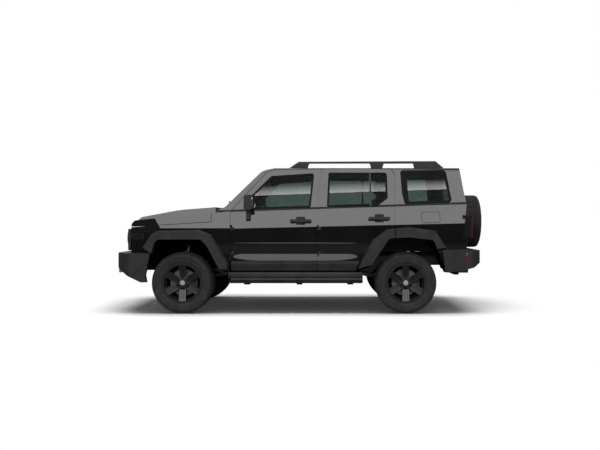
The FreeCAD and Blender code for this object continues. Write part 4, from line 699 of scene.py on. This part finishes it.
# %% Growing a surround from a pane
SURROUND_WIDTH = 0.010
SURROUND_LIFT = 0.0085
SURROUND_FORWARD = 0.042
SURROUND_LOWER = 0.010


def quarter_surround(name, wanted):
    bm, kept = outer_pane("body_glass", wanted)
    out = kept[0].normal.copy()
    rim = [edge for edge in bm.edges if edge.is_boundary]
    ring = bmesh.ops.extrude_edge_only(bm, edges=rim)["geom"]
    outer = [item for item in ring if isinstance(item, bmesh.types.BMVert)]
    low = Vector(min(vert.co[axis] for vert in outer) for axis in range(3))
    high = Vector(max(vert.co[axis] for vert in outer) for axis in range(3))
    middle = (low + high) / 2
    taller = 1 + 2 * SURROUND_WIDTH / (high.z - low.z)
    longer = 1 + 2 * SURROUND_WIDTH / (high.x - low.x)
    bmesh.ops.scale(bm, vec=(longer, taller, taller), space=Matrix.Translation(-middle), verts=outer)
    front = [vert for vert in outer if vert.co.x < middle.x]
    bmesh.ops.translate(bm, vec=(-SURROUND_FORWARD, 0, 0), verts=front)
    bottom = [vert for vert in outer if vert.co.z < middle.z]
    bmesh.ops.translate(bm, vec=(0, 0, -SURROUND_LOWER), verts=bottom)
    bmesh.ops.delete(bm, geom=kept, context="FACES")
    bmesh.ops.recalc_face_normals(bm, faces=bm.faces)
    thicken(bm, out * SURROUND_LIFT)
    finish_piece(name, bm, seal_rubber, "body", 40)


# %% [markdown]
# ### All the windows
# A band is narrow on a door and wide on the windscreen, where it hides the
# glue. Only the pane, its body and the width differ, so one call makes each.

# %% Bands and surrounds of all windows
DOOR_BAND = 0.022
QUARTER_BAND = 0.024
WINDSCREEN_BAND = 0.045
REAR_WINDOW_BAND = 0.035
for side_name, sign in SIDES.items():
    for row in ("front", "rear"):
        window_band("%s_door_band_%s" % (row, side_name), "%s_door_glass_%s" % (row, side_name),
                    "door_%s_%s" % (row, side_name), DOOR_BAND)
    window_band("quarter_band_" + side_name, "body_glass", "body", QUARTER_BAND,
                lambda face: face.normal.y * sign > 0.8)
for side_name, sign in SIDES.items():
    quarter_surround("quarter_surround_" + side_name, lambda face: face.normal.y * sign > 0.8)
window_band("windscreen_band", "body_glass", "body", WINDSCREEN_BAND, lambda face: face.normal.x < -0.5)
window_band("rear_window_band", "tailgate_glass", "tailgate", REAR_WINDOW_BAND)

# %% [markdown]
# ## Headlamps and fog lamps
# The bowl is in the frame. Over it go a ring light guide, a small glass ball
# lens in the middle and a clear cover. All of them are round, so each is
# turned from a short profile rather than cut from a sphere.

# %% Lamp pieces
LAMP_FACE = -2.146
COVER_GAP = 0.017
BALL_GAP = 0.004
FOG_PLACE = (-2.2935, 0.632)
cover_profile = [(0.0, 0.0060), (0.035, 0.0055), (0.065, 0.004), (0.085, 0.0015), (0.096, -0.002),
                 (0.096, -0.0045), (0.085, -0.001), (0.065, 0.0015), (0.035, 0.003), (0.0, 0.0035)]
guide_profile = [(0.076, 0.0), (0.078, 0.006), (0.083, 0.008), (0.088, 0.006), (0.090, 0.0)]
ball_profile = [(0.0, 0.014), (0.010, 0.013), (0.020, 0.009), (0.027, 0.003), (0.028, 0.0), (0.0, 0.0)]
fog_profile = [(0.0, 0.004), (0.024, 0.0035), (0.040, 0.0015), (0.046, -0.001), (0.046, -0.003),
               (0.0, 0.0015)]


def turned_lamp(name, profile, material, place, steps=48, closed=False):
    bm = bmesh.new()
    spin_profile(bm, profile, steps, closed=closed)
    face_forward(bm, place)
    finish_piece(name, bm, material, "body", 40)


for side_name, sign in SIDES.items():
    y, z = sign * LAMP_CENTRE[0], LAMP_CENTRE[1]
    turned_lamp("headlamp_cover_" + side_name, cover_profile, clear, (LAMP_FACE - COVER_GAP, y, z))
    turned_lamp("headlamp_guide_" + side_name, guide_profile, milky, (LAMP_FACE, y, z), closed=True)
    turned_lamp("headlamp_ball_" + side_name, ball_profile, clear, (LAMP_FACE - BALL_GAP, y, z), steps=32)
    turned_lamp("fog_cover_" + side_name, fog_profile, clear, (FOG_PLACE[0], y, FOG_PLACE[1]), steps=32)

# %% [markdown]
# ## The lamp bar on the corner
# A slim bar wraps round the corner of the nose, edged in bright metal with a
# light strip inside. The edging could be cut out of a box by a boolean, but an
# inset leaves an even rim and no stray edges, so it starts as a flat ring.

# %% Flat rings
def frame_ring(size, place, rim, normal_axis):
    """A flat rectangular frame: a plate is inset, its middle goes, and it gets a thickness."""
    length, height, thickness = size
    bm = bmesh.new()
    plate = bmesh.ops.create_grid(bm, x_segments=1, y_segments=1, size=0.5)["verts"]
    bmesh.ops.scale(bm, vec=(length, height, 1), verts=plate)
    ring = bmesh.ops.inset_region(bm, faces=bm.faces[:], thickness=rim, use_even_offset=True,
                                  use_boundary=True)["faces"]
    bmesh.ops.delete(bm, geom=[face for face in bm.faces if face not in ring], context="FACES")
    thicken(bm, Vector((0, 0, thickness)))
    bmesh.ops.translate(bm, vec=(0, 0, -thickness / 2), verts=bm.verts)
    rotate(bm, Matrix.Rotation(math.pi / 2, 3, "X"))
    if normal_axis == "X":
        rotate(bm, Matrix.Rotation(math.pi / 2, 3, "Z"))
    bmesh.ops.translate(bm, vec=place, verts=bm.verts)
    return bm


# %% [markdown]
# ### Bending a flat piece round the corner
# The bar has to follow the lamp. It could be bent by a modifier along a curve,
# but that curve would have to be drawn after the lamp. The flat piece is
# divided along its length instead, and rays from the side find the lamp.

# %% Bending a flat piece round the corner
BAR_X = (-2.119, -1.939)
BAR_Z = (0.914, 0.977)
BAR_Y = 0.850
bar_middle = (sum(BAR_X) / 2, sum(BAR_Z) / 2)
lamp_mesh = bmesh.new()
lamp_mesh.from_mesh(nodes["front_lamps"].data)
lamp_sides = BVHTree.FromBMesh(lamp_mesh)
lamp_mesh.free()


def wrap_round(bm, sign):
    """The flat piece bends round the corner of the car, onto the lamp's own side."""
    long_edges = [edge for edge in bm.edges if edge.calc_length() > 0.1]
    bmesh.ops.subdivide_edges(bm, edges=long_edges, cuts=14, use_grid_fill=True)
    for vert in bm.verts:
        start = Vector((vert.co.x, sign * 1.2, bar_middle[1]))
        touched = lamp_sides.ray_cast(start, Vector((0, -sign, 0)))[0]
        vert.co.y += touched.y - sign * BAR_Y


# %% [markdown]
# ### The edge and the light strip
# Both pieces are made flat beside the lamp and then bent by the same rays, at
# half the bar's height. There each stands off by about a millimetre. The lamp
# is no upright wall, so the rims of the edging stand off by up to a centimetre.
# A ray for each point's own height would miss the lamp at some of them.

# %% Corner bars
EDGE_STAND, EDGE_THICKNESS, EDGE_RIM = 0.0015, 0.004, 0.005
STRIP_STAND = 0.0012
STRIP_SIZE = (0.15, 0.003, 0.012)
for side_name, sign in SIDES.items():
    bm = frame_ring((BAR_X[1] - BAR_X[0], BAR_Z[1] - BAR_Z[0], EDGE_THICKNESS),
                    (bar_middle[0], sign * (BAR_Y + EDGE_STAND), bar_middle[1]), EDGE_RIM, "Y")
    wrap_round(bm, sign)
    finish_piece("corner_bar_edge_" + side_name, bm, chrome, "body", 30)
    bm = rounded_block(STRIP_SIZE, (bar_middle[0], sign * (BAR_Y + STRIP_STAND), bar_middle[1]), 0.001, 2)
    wrap_round(bm, sign)
    finish_piece("corner_bar_light_" + side_name, bm, dark_gloss, "body", 30)

# %% [markdown]
# ## Grille mesh
# Behind the slats lies a fine black mesh. It could be a pattern with holes in
# the material, but then it would be lost in the exported model. A grid turned
# to its wires makes one in two operators, and so does the bumper's mouth.

# %% Meshes behind the slats
MESH_WIRE = 0.0025


def mesh_panel(name, width, height, cells, place):
    bm = bmesh.new()
    bmesh.ops.create_grid(bm, x_segments=cells[0], y_segments=cells[1], size=0.5)
    bmesh.ops.scale(bm, vec=(width, height, 1), verts=bm.verts)
    bmesh.ops.wireframe(bm, faces=bm.faces[:], thickness=MESH_WIRE, use_replace=True, use_boundary=True,
                        use_even_offset=True)
    rotate(bm, Matrix.Rotation(math.pi / 2, 3, "Z") @ Matrix.Rotation(math.pi / 2, 3, "X"))
    bmesh.ops.translate(bm, vec=place, verts=bm.verts)
    finish_piece(name, bm, dark_gloss, "body")


mesh_panel("grille_mesh", 0.930, 0.204, (56, 12), (-2.1285, 0, 0.906))
mesh_panel("mouth_mesh", 0.760, 0.086, (46, 5), (-2.314, 0, 0.635))

# %% [markdown]
# ## Mirrors
# The mirror glass faces back, so it is seen from behind: a thin plate let
# into the head. Only the four edges that run through its thickness are
# bevelled, which rounds its corners and leaves its faces flat.

# %% Mirror glass
MIRROR_SIZE = (0.004, 0.155, 0.140)
MIRROR_PLACE = (-0.5815, 0.960, 1.364)
MIRROR_CORNER = 0.028
for side_name, sign in SIDES.items():
    bm = bmesh.new()
    bmesh.ops.create_cube(bm, size=1.0)
    bmesh.ops.scale(bm, vec=MIRROR_SIZE, verts=bm.verts)
    corners = [edge for edge in bm.edges if abs(edge.verts[0].co.x - edge.verts[1].co.x) > MIRROR_SIZE[0] / 2]
    bmesh.ops.bevel(bm, geom=corners, offset=MIRROR_CORNER, offset_type="OFFSET", segments=6, profile=0.5,
                    affect="EDGES", material=-1)
    bmesh.ops.translate(bm, vec=on_side(MIRROR_PLACE, sign), verts=bm.verts)
    finish_piece("mirror_glass_" + side_name, bm, mirror, "door_front_" + side_name, 30)

# %% [markdown]
# ## Step treads
# The boards are ribbed for grip. Ribs are one small bar copied along the
# board, which is an array that is already real geometry.

# %% Ribs on the steps
RIB_SIZE = (0.010, 0.080, 0.004)
RIB_PITCH = 0.024
RIB_RUN = 1.52
RIB_Y, RIB_Z = 0.868, 0.4395
FIRST_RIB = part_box("side_steps")[0][0] + 0.08
for side_name, sign in SIDES.items():
    bm = bmesh.new()
    rib = add_block(bm, RIB_SIZE, (FIRST_RIB, sign * RIB_Y, RIB_Z), bevel=0.0012)
    faces = list({face for vert in rib for face in vert.link_faces})
    for i in range(1, int(RIB_RUN / RIB_PITCH)):
        twin = bmesh.ops.duplicate(bm, geom=faces)["geom"]
        fresh = [item for item in twin if isinstance(item, bmesh.types.BMVert)]
        bmesh.ops.translate(bm, vec=(RIB_PITCH * i, 0, 0), verts=fresh)
    finish_piece("step_ribs_" + side_name, bm, seal_rubber, "body", 30)

# %% [markdown]
# ## Wiper blades
# A blade hangs under each arm, along the foot of the windscreen. It is a
# rounded bar, placed by the screen's own slope and turned three degrees.

# %% Wiper blades
SCREEN_FOOT = Vector((-0.935, 0, 1.310))
SCREEN_UP = Vector((0.455, 0, 0.462)).normalized()
SCREEN_OUT = Vector((-SCREEN_UP.z, 0, SCREEN_UP.x))
BLADE_SIZE = (0.007, 0.430, 0.010)
BLADE_RISE, BLADE_STAND = 0.075, 0.009
for name, y in (("wiper_blade_left", -0.520), ("wiper_blade_right", 0.060)):
    bm = rounded_block(BLADE_SIZE, (0, 0, 0), 0.002, 2)
    rotate(bm, Matrix.Rotation(math.radians(3), 3, SCREEN_OUT))
    place = SCREEN_FOOT + SCREEN_UP * BLADE_RISE + SCREEN_OUT * BLADE_STAND + Vector((0, y, 0))
    bmesh.ops.translate(bm, vec=place, verts=bm.verts)
    finish_piece(name, bm, seal_rubber, "body", 30)

# %% [markdown]
# ## Rear reflectors
# A small red reflector sits at each end of the rear bumper. It is a rounded
# block, and the cells in its material stand for the prisms inside.

# %% Reflectors
REFLECTOR_SIZE = (0.016, 0.006, 0.090)
REFLECTOR_PLACE = (2.045, 0.930, 0.700)
for side_name, sign in SIDES.items():
    bm = rounded_block(REFLECTOR_SIZE, on_side(REFLECTOR_PLACE, sign), 0.002, 2)
    finish_piece("side_reflector_" + side_name, bm, reflector_red, "body", 30)

# %% [markdown]
# ## Inside the cabin
# Through the glass the eye finds screens, vents, a lever, armrests and the
# mirror. They are kept simple and dark, because that is how they are seen.

# %% Screens on the dashboard
for name, size, place, radius in (
        ("centre_screen", (0.014, 0.320, 0.170), (-0.548, 0.0, 1.255), 0.006),
        ("dial_screen", (0.012, 0.300, 0.110), (-0.556, -0.370, 1.235), 0.005)):
    finish_piece(name, rounded_block(size, place, radius), screen_glass, "body", 40)

# %% [markdown]
# ### Air vents
# A vent is a frame with thin blades across its mouth. A picture of one would
# do at this size, but a ring and four bars cost little, and catch the light
# as blades do.

# %% Air vents
VENT_X, VENT_Z = -0.557, 1.120
VENT_SIZE = (0.110, 0.050, 0.010)
BLADE_FOOT, BLADE_STEP = 1.104, 0.0107
for index, y in enumerate((-0.700, -0.120, 0.120, 0.700)):
    bm = frame_ring(VENT_SIZE, (VENT_X, y, VENT_Z), 0.006, "X")
    for row in range(4):
        add_block(bm, (0.012, 0.100, 0.003), (VENT_X, y, BLADE_FOOT + BLADE_STEP * row))
    finish_piece("air_vent_%d" % (index + 1), bm, dark_gloss, "body", 30)

# %% [markdown]
# ### Gear lever and inside mirror
# Both show only as dark outlines through the glass. They could have boots and
# stalks, but one turned profile and one rounded block are all that is seen.

# %% Gear lever and inside mirror
LEVER_FOOT = (-0.250, 0.0, 0.920)
lever_profile = [(0.0, 0.0), (0.020, 0.0), (0.012, 0.020), (0.010, 0.075), (0.024, 0.090), (0.026, 0.110),
                 (0.016, 0.128), (0.0, 0.130)]
bm = bmesh.new()
spin_profile(bm, lever_profile, 24, closed=False)
rotate(bm, Matrix.Rotation(math.pi / 2, 3, "X"))
bmesh.ops.translate(bm, vec=LEVER_FOOT, verts=bm.verts)
finish_piece("gear_lever", bm, dark_gloss, "body", 40)
bm = rounded_block((0.022, 0.230, 0.065), (-0.455, 0.0, 1.655), 0.010)
finish_piece("inside_mirror", bm, dark_gloss, "body", 40)

# %% [markdown]
# ### Armrests
# Each door has a padded rest at the height of an elbow. It could be cloth over
# foam like the seats, but from outside its softness shows only in its edge, so
# it is a well-rounded block. It hangs on its door and opens with it.

# %% Armrests on the doors
ARMREST_Y, ARMREST_Z = 0.765, 0.985
for side_name, sign in SIDES.items():
    for row, x, length in (("front", -0.230, 0.56), ("rear", 0.640, 0.46)):
        bm = rounded_block((length, 0.060, 0.055), (x, sign * ARMREST_Y, ARMREST_Z), 0.018, 4)
        finish_piece("armrest_%s_%s" % (row, side_name), bm, leather, "door_%s_%s" % (row, side_name),
                     40)

# %% [markdown]
# ## Upholstery
# Seats and headrests are leather over foam. A rounded box would do from afar,
# but a real cover crowns between its edges. Each piece starts as a copy of
# its own foam block from the frame, slightly shrunk. It is remeshed evenly,
# blown up a little as cloth under pressure, and last the sewn channels are
# pressed in. The right-hand piece is the left one moved across, because both
# come from one pattern.

# %% A foam block from the frame
SHRINK = 0.975


def solid_from(start, left_over):
    """All the points joined to one by edges; they are taken out of left_over."""
    stack = [start]
    solid = [start]
    while stack:
        for edge in stack.pop().link_edges:
            for vert in edge.verts:
                if vert in left_over:
                    left_over.remove(vert)
                    stack.append(vert)
                    solid.append(vert)
    return solid


def foam_block(node, wanted):
    """The solids of a node whose centre passes a test, merged and shrunk about their middle."""
    bm = bmesh.new()
    bm.from_mesh(nodes[node].data)
    bmesh.ops.remove_doubles(bm, verts=bm.verts, dist=0.00001)
    left_over = set(bm.verts)
    doomed = []
    while left_over:
        solid = solid_from(left_over.pop(), left_over)
        if not wanted(sum((vert.co for vert in solid), Vector()) / len(solid)):
            doomed += solid
    bmesh.ops.delete(bm, geom=doomed, context="VERTS")
    low = Vector([min(v.co[i] for v in bm.verts) for i in range(3)])
    high = Vector([max(v.co[i] for v in bm.verts) for i in range(3)])
    middle = (low + high) / 2
    bmesh.ops.scale(bm, vec=(SHRINK, SHRINK, SHRINK), space=Matrix.Translation(-middle), verts=bm.verts)
    return bm


# %% [markdown]
# ### The cover and its seams
# Leather over foam crowns between its seams and sinks along them. That could
# be sculpted, but cloth under pressure crowns by itself, with a cap on how
# far. The seams are pressed in last, so they stay sharp.

# %% The cover: cloth under pressure, then seams
PRESSURE = 4.0
CLOTH_FRAMES = 20
SEAM_DEPTH = 0.0055
SEAM_WIDTH = 0.007


def settle(piece):
    """Replace a piece's mesh by what its modifiers make of it."""
    graph = bpy.context.evaluated_depsgraph_get()
    mesh = bpy.data.meshes.new_from_object(piece.evaluated_get(graph))
    old = piece.data
    piece.modifiers.clear()
    piece.data = mesh
    bpy.data.meshes.remove(old)


def blow_up(piece, cap):
    """Cloth under pressure, with no point moved further than the cap."""
    before = [vert.co.copy() for vert in piece.data.vertices]
    cloth = piece.modifiers.new("cover", "CLOTH")
    cloth.settings.use_pressure = True
    cloth.settings.uniform_pressure_force = PRESSURE
    cloth.settings.effector_weights.gravity = 0.0
    cloth.settings.quality = 4
    scene = bpy.context.scene
    for step in range(1, CLOTH_FRAMES + 1):
        scene.frame_set(step)
    settle(piece)
    for vert, start in zip(piece.data.vertices, before):
        move = vert.co - start
        if move.length > cap:
            vert.co = start + move.normalized() * cap
    scene.frame_set(1)


def press_seams(piece, seams):
    """Each seam is (axis, value, other axis, low, high): a line pressed into the cover."""
    verts = piece.data.vertices
    normals = [vert.normal.copy() for vert in verts]
    for vert, normal in zip(verts, normals):
        deepest = 0.0
        for axis, value, other, low, high in seams:
            if low <= vert.co[other] <= high:
                distance = (vert.co[axis] - value) / SEAM_WIDTH
                deepest = max(deepest, math.exp(-distance * distance))
        if deepest > 0.01:
            vert.co -= normal * SEAM_DEPTH * deepest


# %% [markdown]
# ### From foam to a finished piece
# The steps are the same for every seat: cut the foam, mesh it evenly, blow it
# up, press the seams and round it all. The right-hand seat could be made the
# same way again, but a copy moved across the car needs no second simulation.


def upholster(name, node, wanted, seams, voxel, cap, shifts=()):
    piece = finish_piece(name, foam_block(node, wanted), leather, "body")
    remesh = piece.modifiers.new("even", "REMESH")
    remesh.mode = "VOXEL"
    remesh.voxel_size = voxel
    settle(piece)
    blow_up(piece, cap)
    press_seams(piece, seams)
    rounding = piece.modifiers.new("round", "SUBSURF")
    rounding.levels = rounding.render_levels = 1
    settle(piece)
    piece.data.materials.clear()
    piece.data.materials.append(leather)
    piece.data.shade_smooth()
    made_pieces = [piece]
    for index, shift in enumerate(shifts):
        twin = bpy.data.objects.new("%s_%d" % (name, index + 2), piece.data.copy())
        bpy.context.scene.collection.objects.link(twin)
        twin.data.transform(Matrix.Translation(shift))
        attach(twin, "body")
        made_pieces.append(twin)
    for each in made_pieces:
        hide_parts(node)
    print(name, len(piece.data.polygons), "faces,", len(made_pieces), "pieces")


# %% [markdown]
# ### The seams of each seat
# A front seat has cross channels between two long seams, the bench has three
# places, and a headrest has two seams. They could be drawn as curves, but a
# straight seam is one value on one axis, so a list of numbers says it all.

# %% Seats
X, Y, Z = 0, 1, 2
SEAT_Y = -0.370
ACROSS = Vector((0, -2 * SEAT_Y, 0))
SEAT_VOXEL, BENCH_VOXEL, REST_VOXEL = 0.009, 0.011, 0.008
SEAT_CAP, REST_CAP = 0.008, 0.006


def channels(axis, values, other, low, high):
    """Seams at these values of one axis, each from low to high along the other."""
    return [(axis, value, other, low, high) for value in values]


cushion_seams = channels(Y, (SEAT_Y - 0.155, SEAT_Y + 0.155), X, -0.44, 0.02)
cushion_seams += channels(X, (-0.36, -0.27, -0.18, -0.09), Y, -0.525, -0.215)
backrest_seams = channels(Y, (SEAT_Y - 0.145, SEAT_Y + 0.145), Z, 0.86, 1.36)
backrest_seams += channels(Z, (0.94, 1.02, 1.10, 1.18, 1.26, 1.34), Y, -0.515, -0.225)
bench_seams = channels(Y, (-0.46, -0.17, 0.17, 0.46), X, 0.40, 0.87)
bench_seams += channels(X, (0.50, 0.62, 0.74), Y, -0.46, 0.46)
bench_back_seams = channels(Y, (-0.46, -0.17, 0.17, 0.46), Z, 0.86, 1.42)
bench_back_seams += channels(Z, (0.98, 1.10, 1.22, 1.34), Y, -0.46, 0.46)
rest_sides = (SEAT_Y - 0.070, SEAT_Y + 0.070)
rest_seams = channels(Y, rest_sides, Z, 1.46, 1.62)
rear_rest_seams = channels(Y, rest_sides, Z, 1.51, 1.67)

upholster("front_cushion", "front_seats", lambda c: c.y < 0 and c.z < 0.9, cushion_seams,
          SEAT_VOXEL, SEAT_CAP, [ACROSS])
upholster("front_backrest", "front_seats", lambda c: c.y < 0 and c.z > 0.9, backrest_seams,
          SEAT_VOXEL, SEAT_CAP, [ACROSS])
upholster("bench_cushion", "rear_seat", lambda c: c.z < 0.9, bench_seams, BENCH_VOXEL, SEAT_CAP)
upholster("bench_backrest", "rear_seat", lambda c: c.z > 0.9, bench_back_seams, BENCH_VOXEL, SEAT_CAP)
upholster("headrest", "headrests", lambda c: c.y < 0 and c.x < 0.6, rest_seams,
          REST_VOXEL, REST_CAP, [ACROSS])
upholster("rear_headrest", "headrests", lambda c: c.y < 0 and c.x > 0.6, rear_rest_seams,
          REST_VOXEL, REST_CAP, [ACROSS])

# %% [markdown]
# ## The studio
# The photograph is a catalogue picture on pure white. The backdrop shows as
# white to the camera and through the glass, but lights the car much less, by
# the kind of ray that asks. Turning the lamps up instead would bleach it.

# %% World
AMBIENT = 0.22
GLOSS_LEVEL = 0.10
world = bpy.data.worlds.new("studio")
bpy.context.scene.world = world
world.use_nodes = True
backdrop = world.node_tree.nodes["Background"]
backdrop.inputs["Color"].default_value = (1, 1, 1, 1)
path = add(world, "ShaderNodeLightPath")
shown = math_node(world, "MAXIMUM", (path, "Is Camera Ray"), (path, "Is Transmission Ray"))
level = math_node(world, "MULTIPLY_ADD", shown, 1.0 - AMBIENT, AMBIENT)
level = math_node(world, "MULTIPLY_ADD", (path, "Is Glossy Ray"), GLOSS_LEVEL - AMBIENT, level)
link(world, *level, backdrop, "Strength")

# %% [markdown]
# ### Floor
# The floor is white paper: near the car it takes the shadow, and further out
# it fades to the plain white of the backdrop, by its own Object coordinates.
# Glossy rays see it dark, which keeps the lower half of the doors black.

# %% Floor
PAPER_HALF = (3.0, 2.0)
FADE_FROM, FADE_TO = 0.82, 1.18
FAR_FLOOR = 0.4
NEAR_LIFT = 0.02
MIRRORED_SHARE, MIRRORED_LEVEL = 0.96, 0.02

bpy.ops.mesh.primitive_plane_add(size=80, location=(0, 0, 0))
floor = bpy.context.active_object
floor.name = "studio_floor"
paper = new_material("floor_paper", (0.93, 0.93, 0.93), rough=0.9, specular=0.0)
ray = add(paper, "ShaderNodeLightPath")
place = add(paper, "ShaderNodeTexCoord")
squash = add(paper, "ShaderNodeMapping", vector_type="POINT")
squash.inputs["Scale"].default_value = (1 / PAPER_HALF[0], 1 / PAPER_HALF[1], 1)
reach = add(paper, "ShaderNodeVectorMath", operation="LENGTH")
fade = add(paper, "ShaderNodeMapRange", interpolation_type="SMOOTHSTEP", From_Min=FADE_FROM, From_Max=FADE_TO)
link(paper, place, "Object", squash, "Vector")
link(paper, squash, "Vector", reach, 0)
link(paper, reach, "Value", fade, "Value")
seen = math_node(paper, "MAXIMUM", (ray, "Is Camera Ray"), (ray, "Is Transmission Ray"))
far_glow = add(paper, "ShaderNodeEmission")
link(paper, *math_node(paper, "MULTIPLY_ADD", seen, 1.0 - FAR_FLOOR, FAR_FLOOR), far_glow, "Strength")
near_glow = add(paper, "ShaderNodeEmission")
link(paper, *math_node(paper, "MULTIPLY", seen, NEAR_LIFT), near_glow, "Strength")
lifted = add(paper, "ShaderNodeAddShader")
link(paper, shader_of(paper), "BSDF", lifted, 0)
link(paper, near_glow, "Emission", lifted, 1)
faded = add(paper, "ShaderNodeMixShader")
link(paper, fade, "Result", faded, 0)
link(paper, lifted, "Shader", faded, 1)
link(paper, far_glow, "Emission", faded, 2)
dim = add(paper, "ShaderNodeEmission", Strength=MIRRORED_LEVEL)
mirrored = add(paper, "ShaderNodeMixShader")
link(paper, *math_node(paper, "MULTIPLY", (ray, "Is Glossy Ray"), MIRRORED_SHARE), mirrored, 0)
link(paper, faded, "Shader", mirrored, 1)
link(paper, dim, "Emission", mirrored, 2)
link(paper, mirrored, "Shader", paper.node_tree.nodes["Material Output"], "Surface")
floor.data.materials.append(paper)
floor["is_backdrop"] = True

# %% [markdown]
# ### Who sees which lamp
# In a studio, black flags keep a lamp off the floor or off a window. Flags
# could be built here too, but the paint would mirror them. Light linking does
# it unseen: a lamp lights only the pieces of the collection it is given.

# %% Who sees which lamp
glass_nodes = [name for name in nodes if "glass" in name]
painted = bpy.data.collections.new("all_but_glass_and_floor")
glazed = bpy.data.collections.new("panes")
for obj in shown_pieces():
    if obj.name in glass_nodes:
        glazed.objects.link(obj)
    else:
        painted.objects.link(obj)


# %% [markdown]
# ### Lamps
# Black lacquer shows little but what it mirrors. A picture of a studio could
# light it, but lamps can be moved one at a time. Two long bands on each side
# draw the grey of the upper doors and pillars and stop at the crease, a small
# ellipse draws the line above the sill, and fills open up nose and tail. They
# light only the painted collection; the overhead lamp lights everything.

# %% Lamps
def lamp(name, place, aim, size, power, in_gloss=True, in_diffuse=True):
    data = bpy.data.lights.new(name, "AREA")
    data.shape = "RECTANGLE"
    data.size, data.size_y = size
    data.energy = power
    obj = bpy.data.objects.new(name, data)
    bpy.context.scene.collection.objects.link(obj)
    obj.location = place
    obj.rotation_euler = (Vector(aim) - Vector(place)).to_track_quat("-Z", "Y").to_euler()
    obj.visible_camera = False
    obj.visible_glossy = in_gloss
    obj.visible_diffuse = in_diffuse
    obj.visible_transmission = False
    return obj


lamp("overhead", (0, -0.4, 6.5), (0, -0.2, 0), (10, 4), 740, in_gloss=False)
bands = [lamp("crease_band", (0, -15, 6.6), (0, -0.9, 1.1), (28, 3.2), 1180),
         lamp("pillar_band", (0, -12, 9.3), (0, -0.8, 1.5), (28, 3.6), 1350),
         lamp("crease_band_right", (0, 15, 6.6), (0, 0.9, 1.1), (28, 3.2), 420),
         lamp("pillar_band_right", (0, 12, 9.3), (0, 0.8, 1.5), (28, 3.6), 480),
         lamp("nose_fill", (-12, 0, 4.5), (-1, 0, 1), (9, 3), 150),
         lamp("tail_fill", (12, 0, 4.5), (1, 0, 1), (9, 3), 150),
         lamp("roof_gloss", (0, 0, 9), (0, 0, 0), (14, 8), 170, in_diffuse=False),
         lamp("door_line", (-0.28, -6.4, 0.405), (-0.28, 0, 0.405), (2.55, 0.22), 3.4, in_diffuse=False)]
bands[-1].data.shape = "ELLIPSE"
for band in bands:
    band.light_linking.receiver_collection = painted

# %% [markdown]
# ### The card that the side windows mirror
# Each side window shows a bright strip with a hard lower edge that fades
# upwards. A card behind the bands gives it. A lamp has one brightness all
# over, so this is a plate whose glow runs by its height, and it hangs two
# degrees out of level, as the strip does in the photograph.

# %% Window card
CARD_DISTANCE = 19.0
CARD_ELEVATION = math.radians(33.6)
CARD_LENGTH, CARD_HEIGHT = 50, 1.30
CARD_TILT = math.radians(2.0)
PANE_Y, PANE_Z = -0.8, 1.40
GLOW_LOW, GLOW_HIGH, GLOW_REACH = 8.0, 0.2, 0.85
card_z = PANE_Z + CARD_DISTANCE * math.tan(CARD_ELEVATION)
bm = bmesh.new()
bmesh.ops.create_grid(bm, x_segments=1, y_segments=1, size=0.5)
bmesh.ops.scale(bm, vec=(CARD_LENGTH, CARD_HEIGHT, 1), verts=bm.verts)
rotate(bm, Matrix.Rotation(math.radians(90) + CARD_ELEVATION, 3, "X"))
rotate(bm, Matrix.Rotation(-CARD_TILT, 3, "Y"))
bmesh.ops.translate(bm, vec=(0, PANE_Y - CARD_DISTANCE, card_z + CARD_HEIGHT / 2), verts=bm.verts)
mesh = bpy.data.meshes.new("window_card")
bm.to_mesh(mesh)
bm.free()
card = bpy.data.objects.new("window_card", mesh)
bpy.context.scene.collection.objects.link(card)

# %% [markdown]
# ### The card's glow
# The strip on the glass is brightest at its lower edge. An image with a
# gradient would do, but the height above that edge, read from the card's
# Object coordinates, gives the same with a few nodes and follows the tilt.

# %% Its glow
glow = bpy.data.materials.new("card_glow")
glow.use_nodes = True
glow.node_tree.nodes.remove(shader_of(glow))
light = add(glow, "ShaderNodeEmission")
x, y, z = object_axes(glow)
slope = math_node(glow, "MULTIPLY_ADD", x, -math.tan(CARD_TILT), z)
height = add(glow, "ShaderNodeMapRange", From_Min=card_z, From_Max=card_z + CARD_HEIGHT * GLOW_REACH,
             To_Min=GLOW_LOW, To_Max=GLOW_HIGH)
link(glow, *slope, height, "Value")
link(glow, height, "Result", light, "Strength")
link(glow, light, "Emission", glow.node_tree.nodes["Material Output"], "Surface")
mesh.materials.append(glow)
card.visible_camera = card.visible_diffuse = card.visible_transmission = card.visible_shadow = False
card.light_linking.receiver_collection = glazed
card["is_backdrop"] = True

# %% [markdown]
# ## Camera
# The picture is a pure side view from nine metres, at about the height of the
# crease. Turning the camera would skew the car, so a small shift of the lens
# places it in the frame as the photograph does.

# %% Camera
PICTURE_WIDTH = 600
SHIFT_PIXELS = (-22, -4.5)
camera_data = bpy.data.cameras.new("camera")
camera_data.sensor_width = 36
camera_data.lens = 40.1
camera_data.shift_x, camera_data.shift_y = (pixels / PICTURE_WIDTH for pixels in SHIFT_PIXELS)
camera = bpy.data.objects.new("camera", camera_data)
bpy.context.scene.collection.objects.link(camera)
camera.location = (0.268, -9.12, 1.144)
camera.rotation_euler = (math.radians(90), 0, 0)
bpy.context.scene.camera = camera
bpy.context.scene.view_settings.view_transform = "Standard"
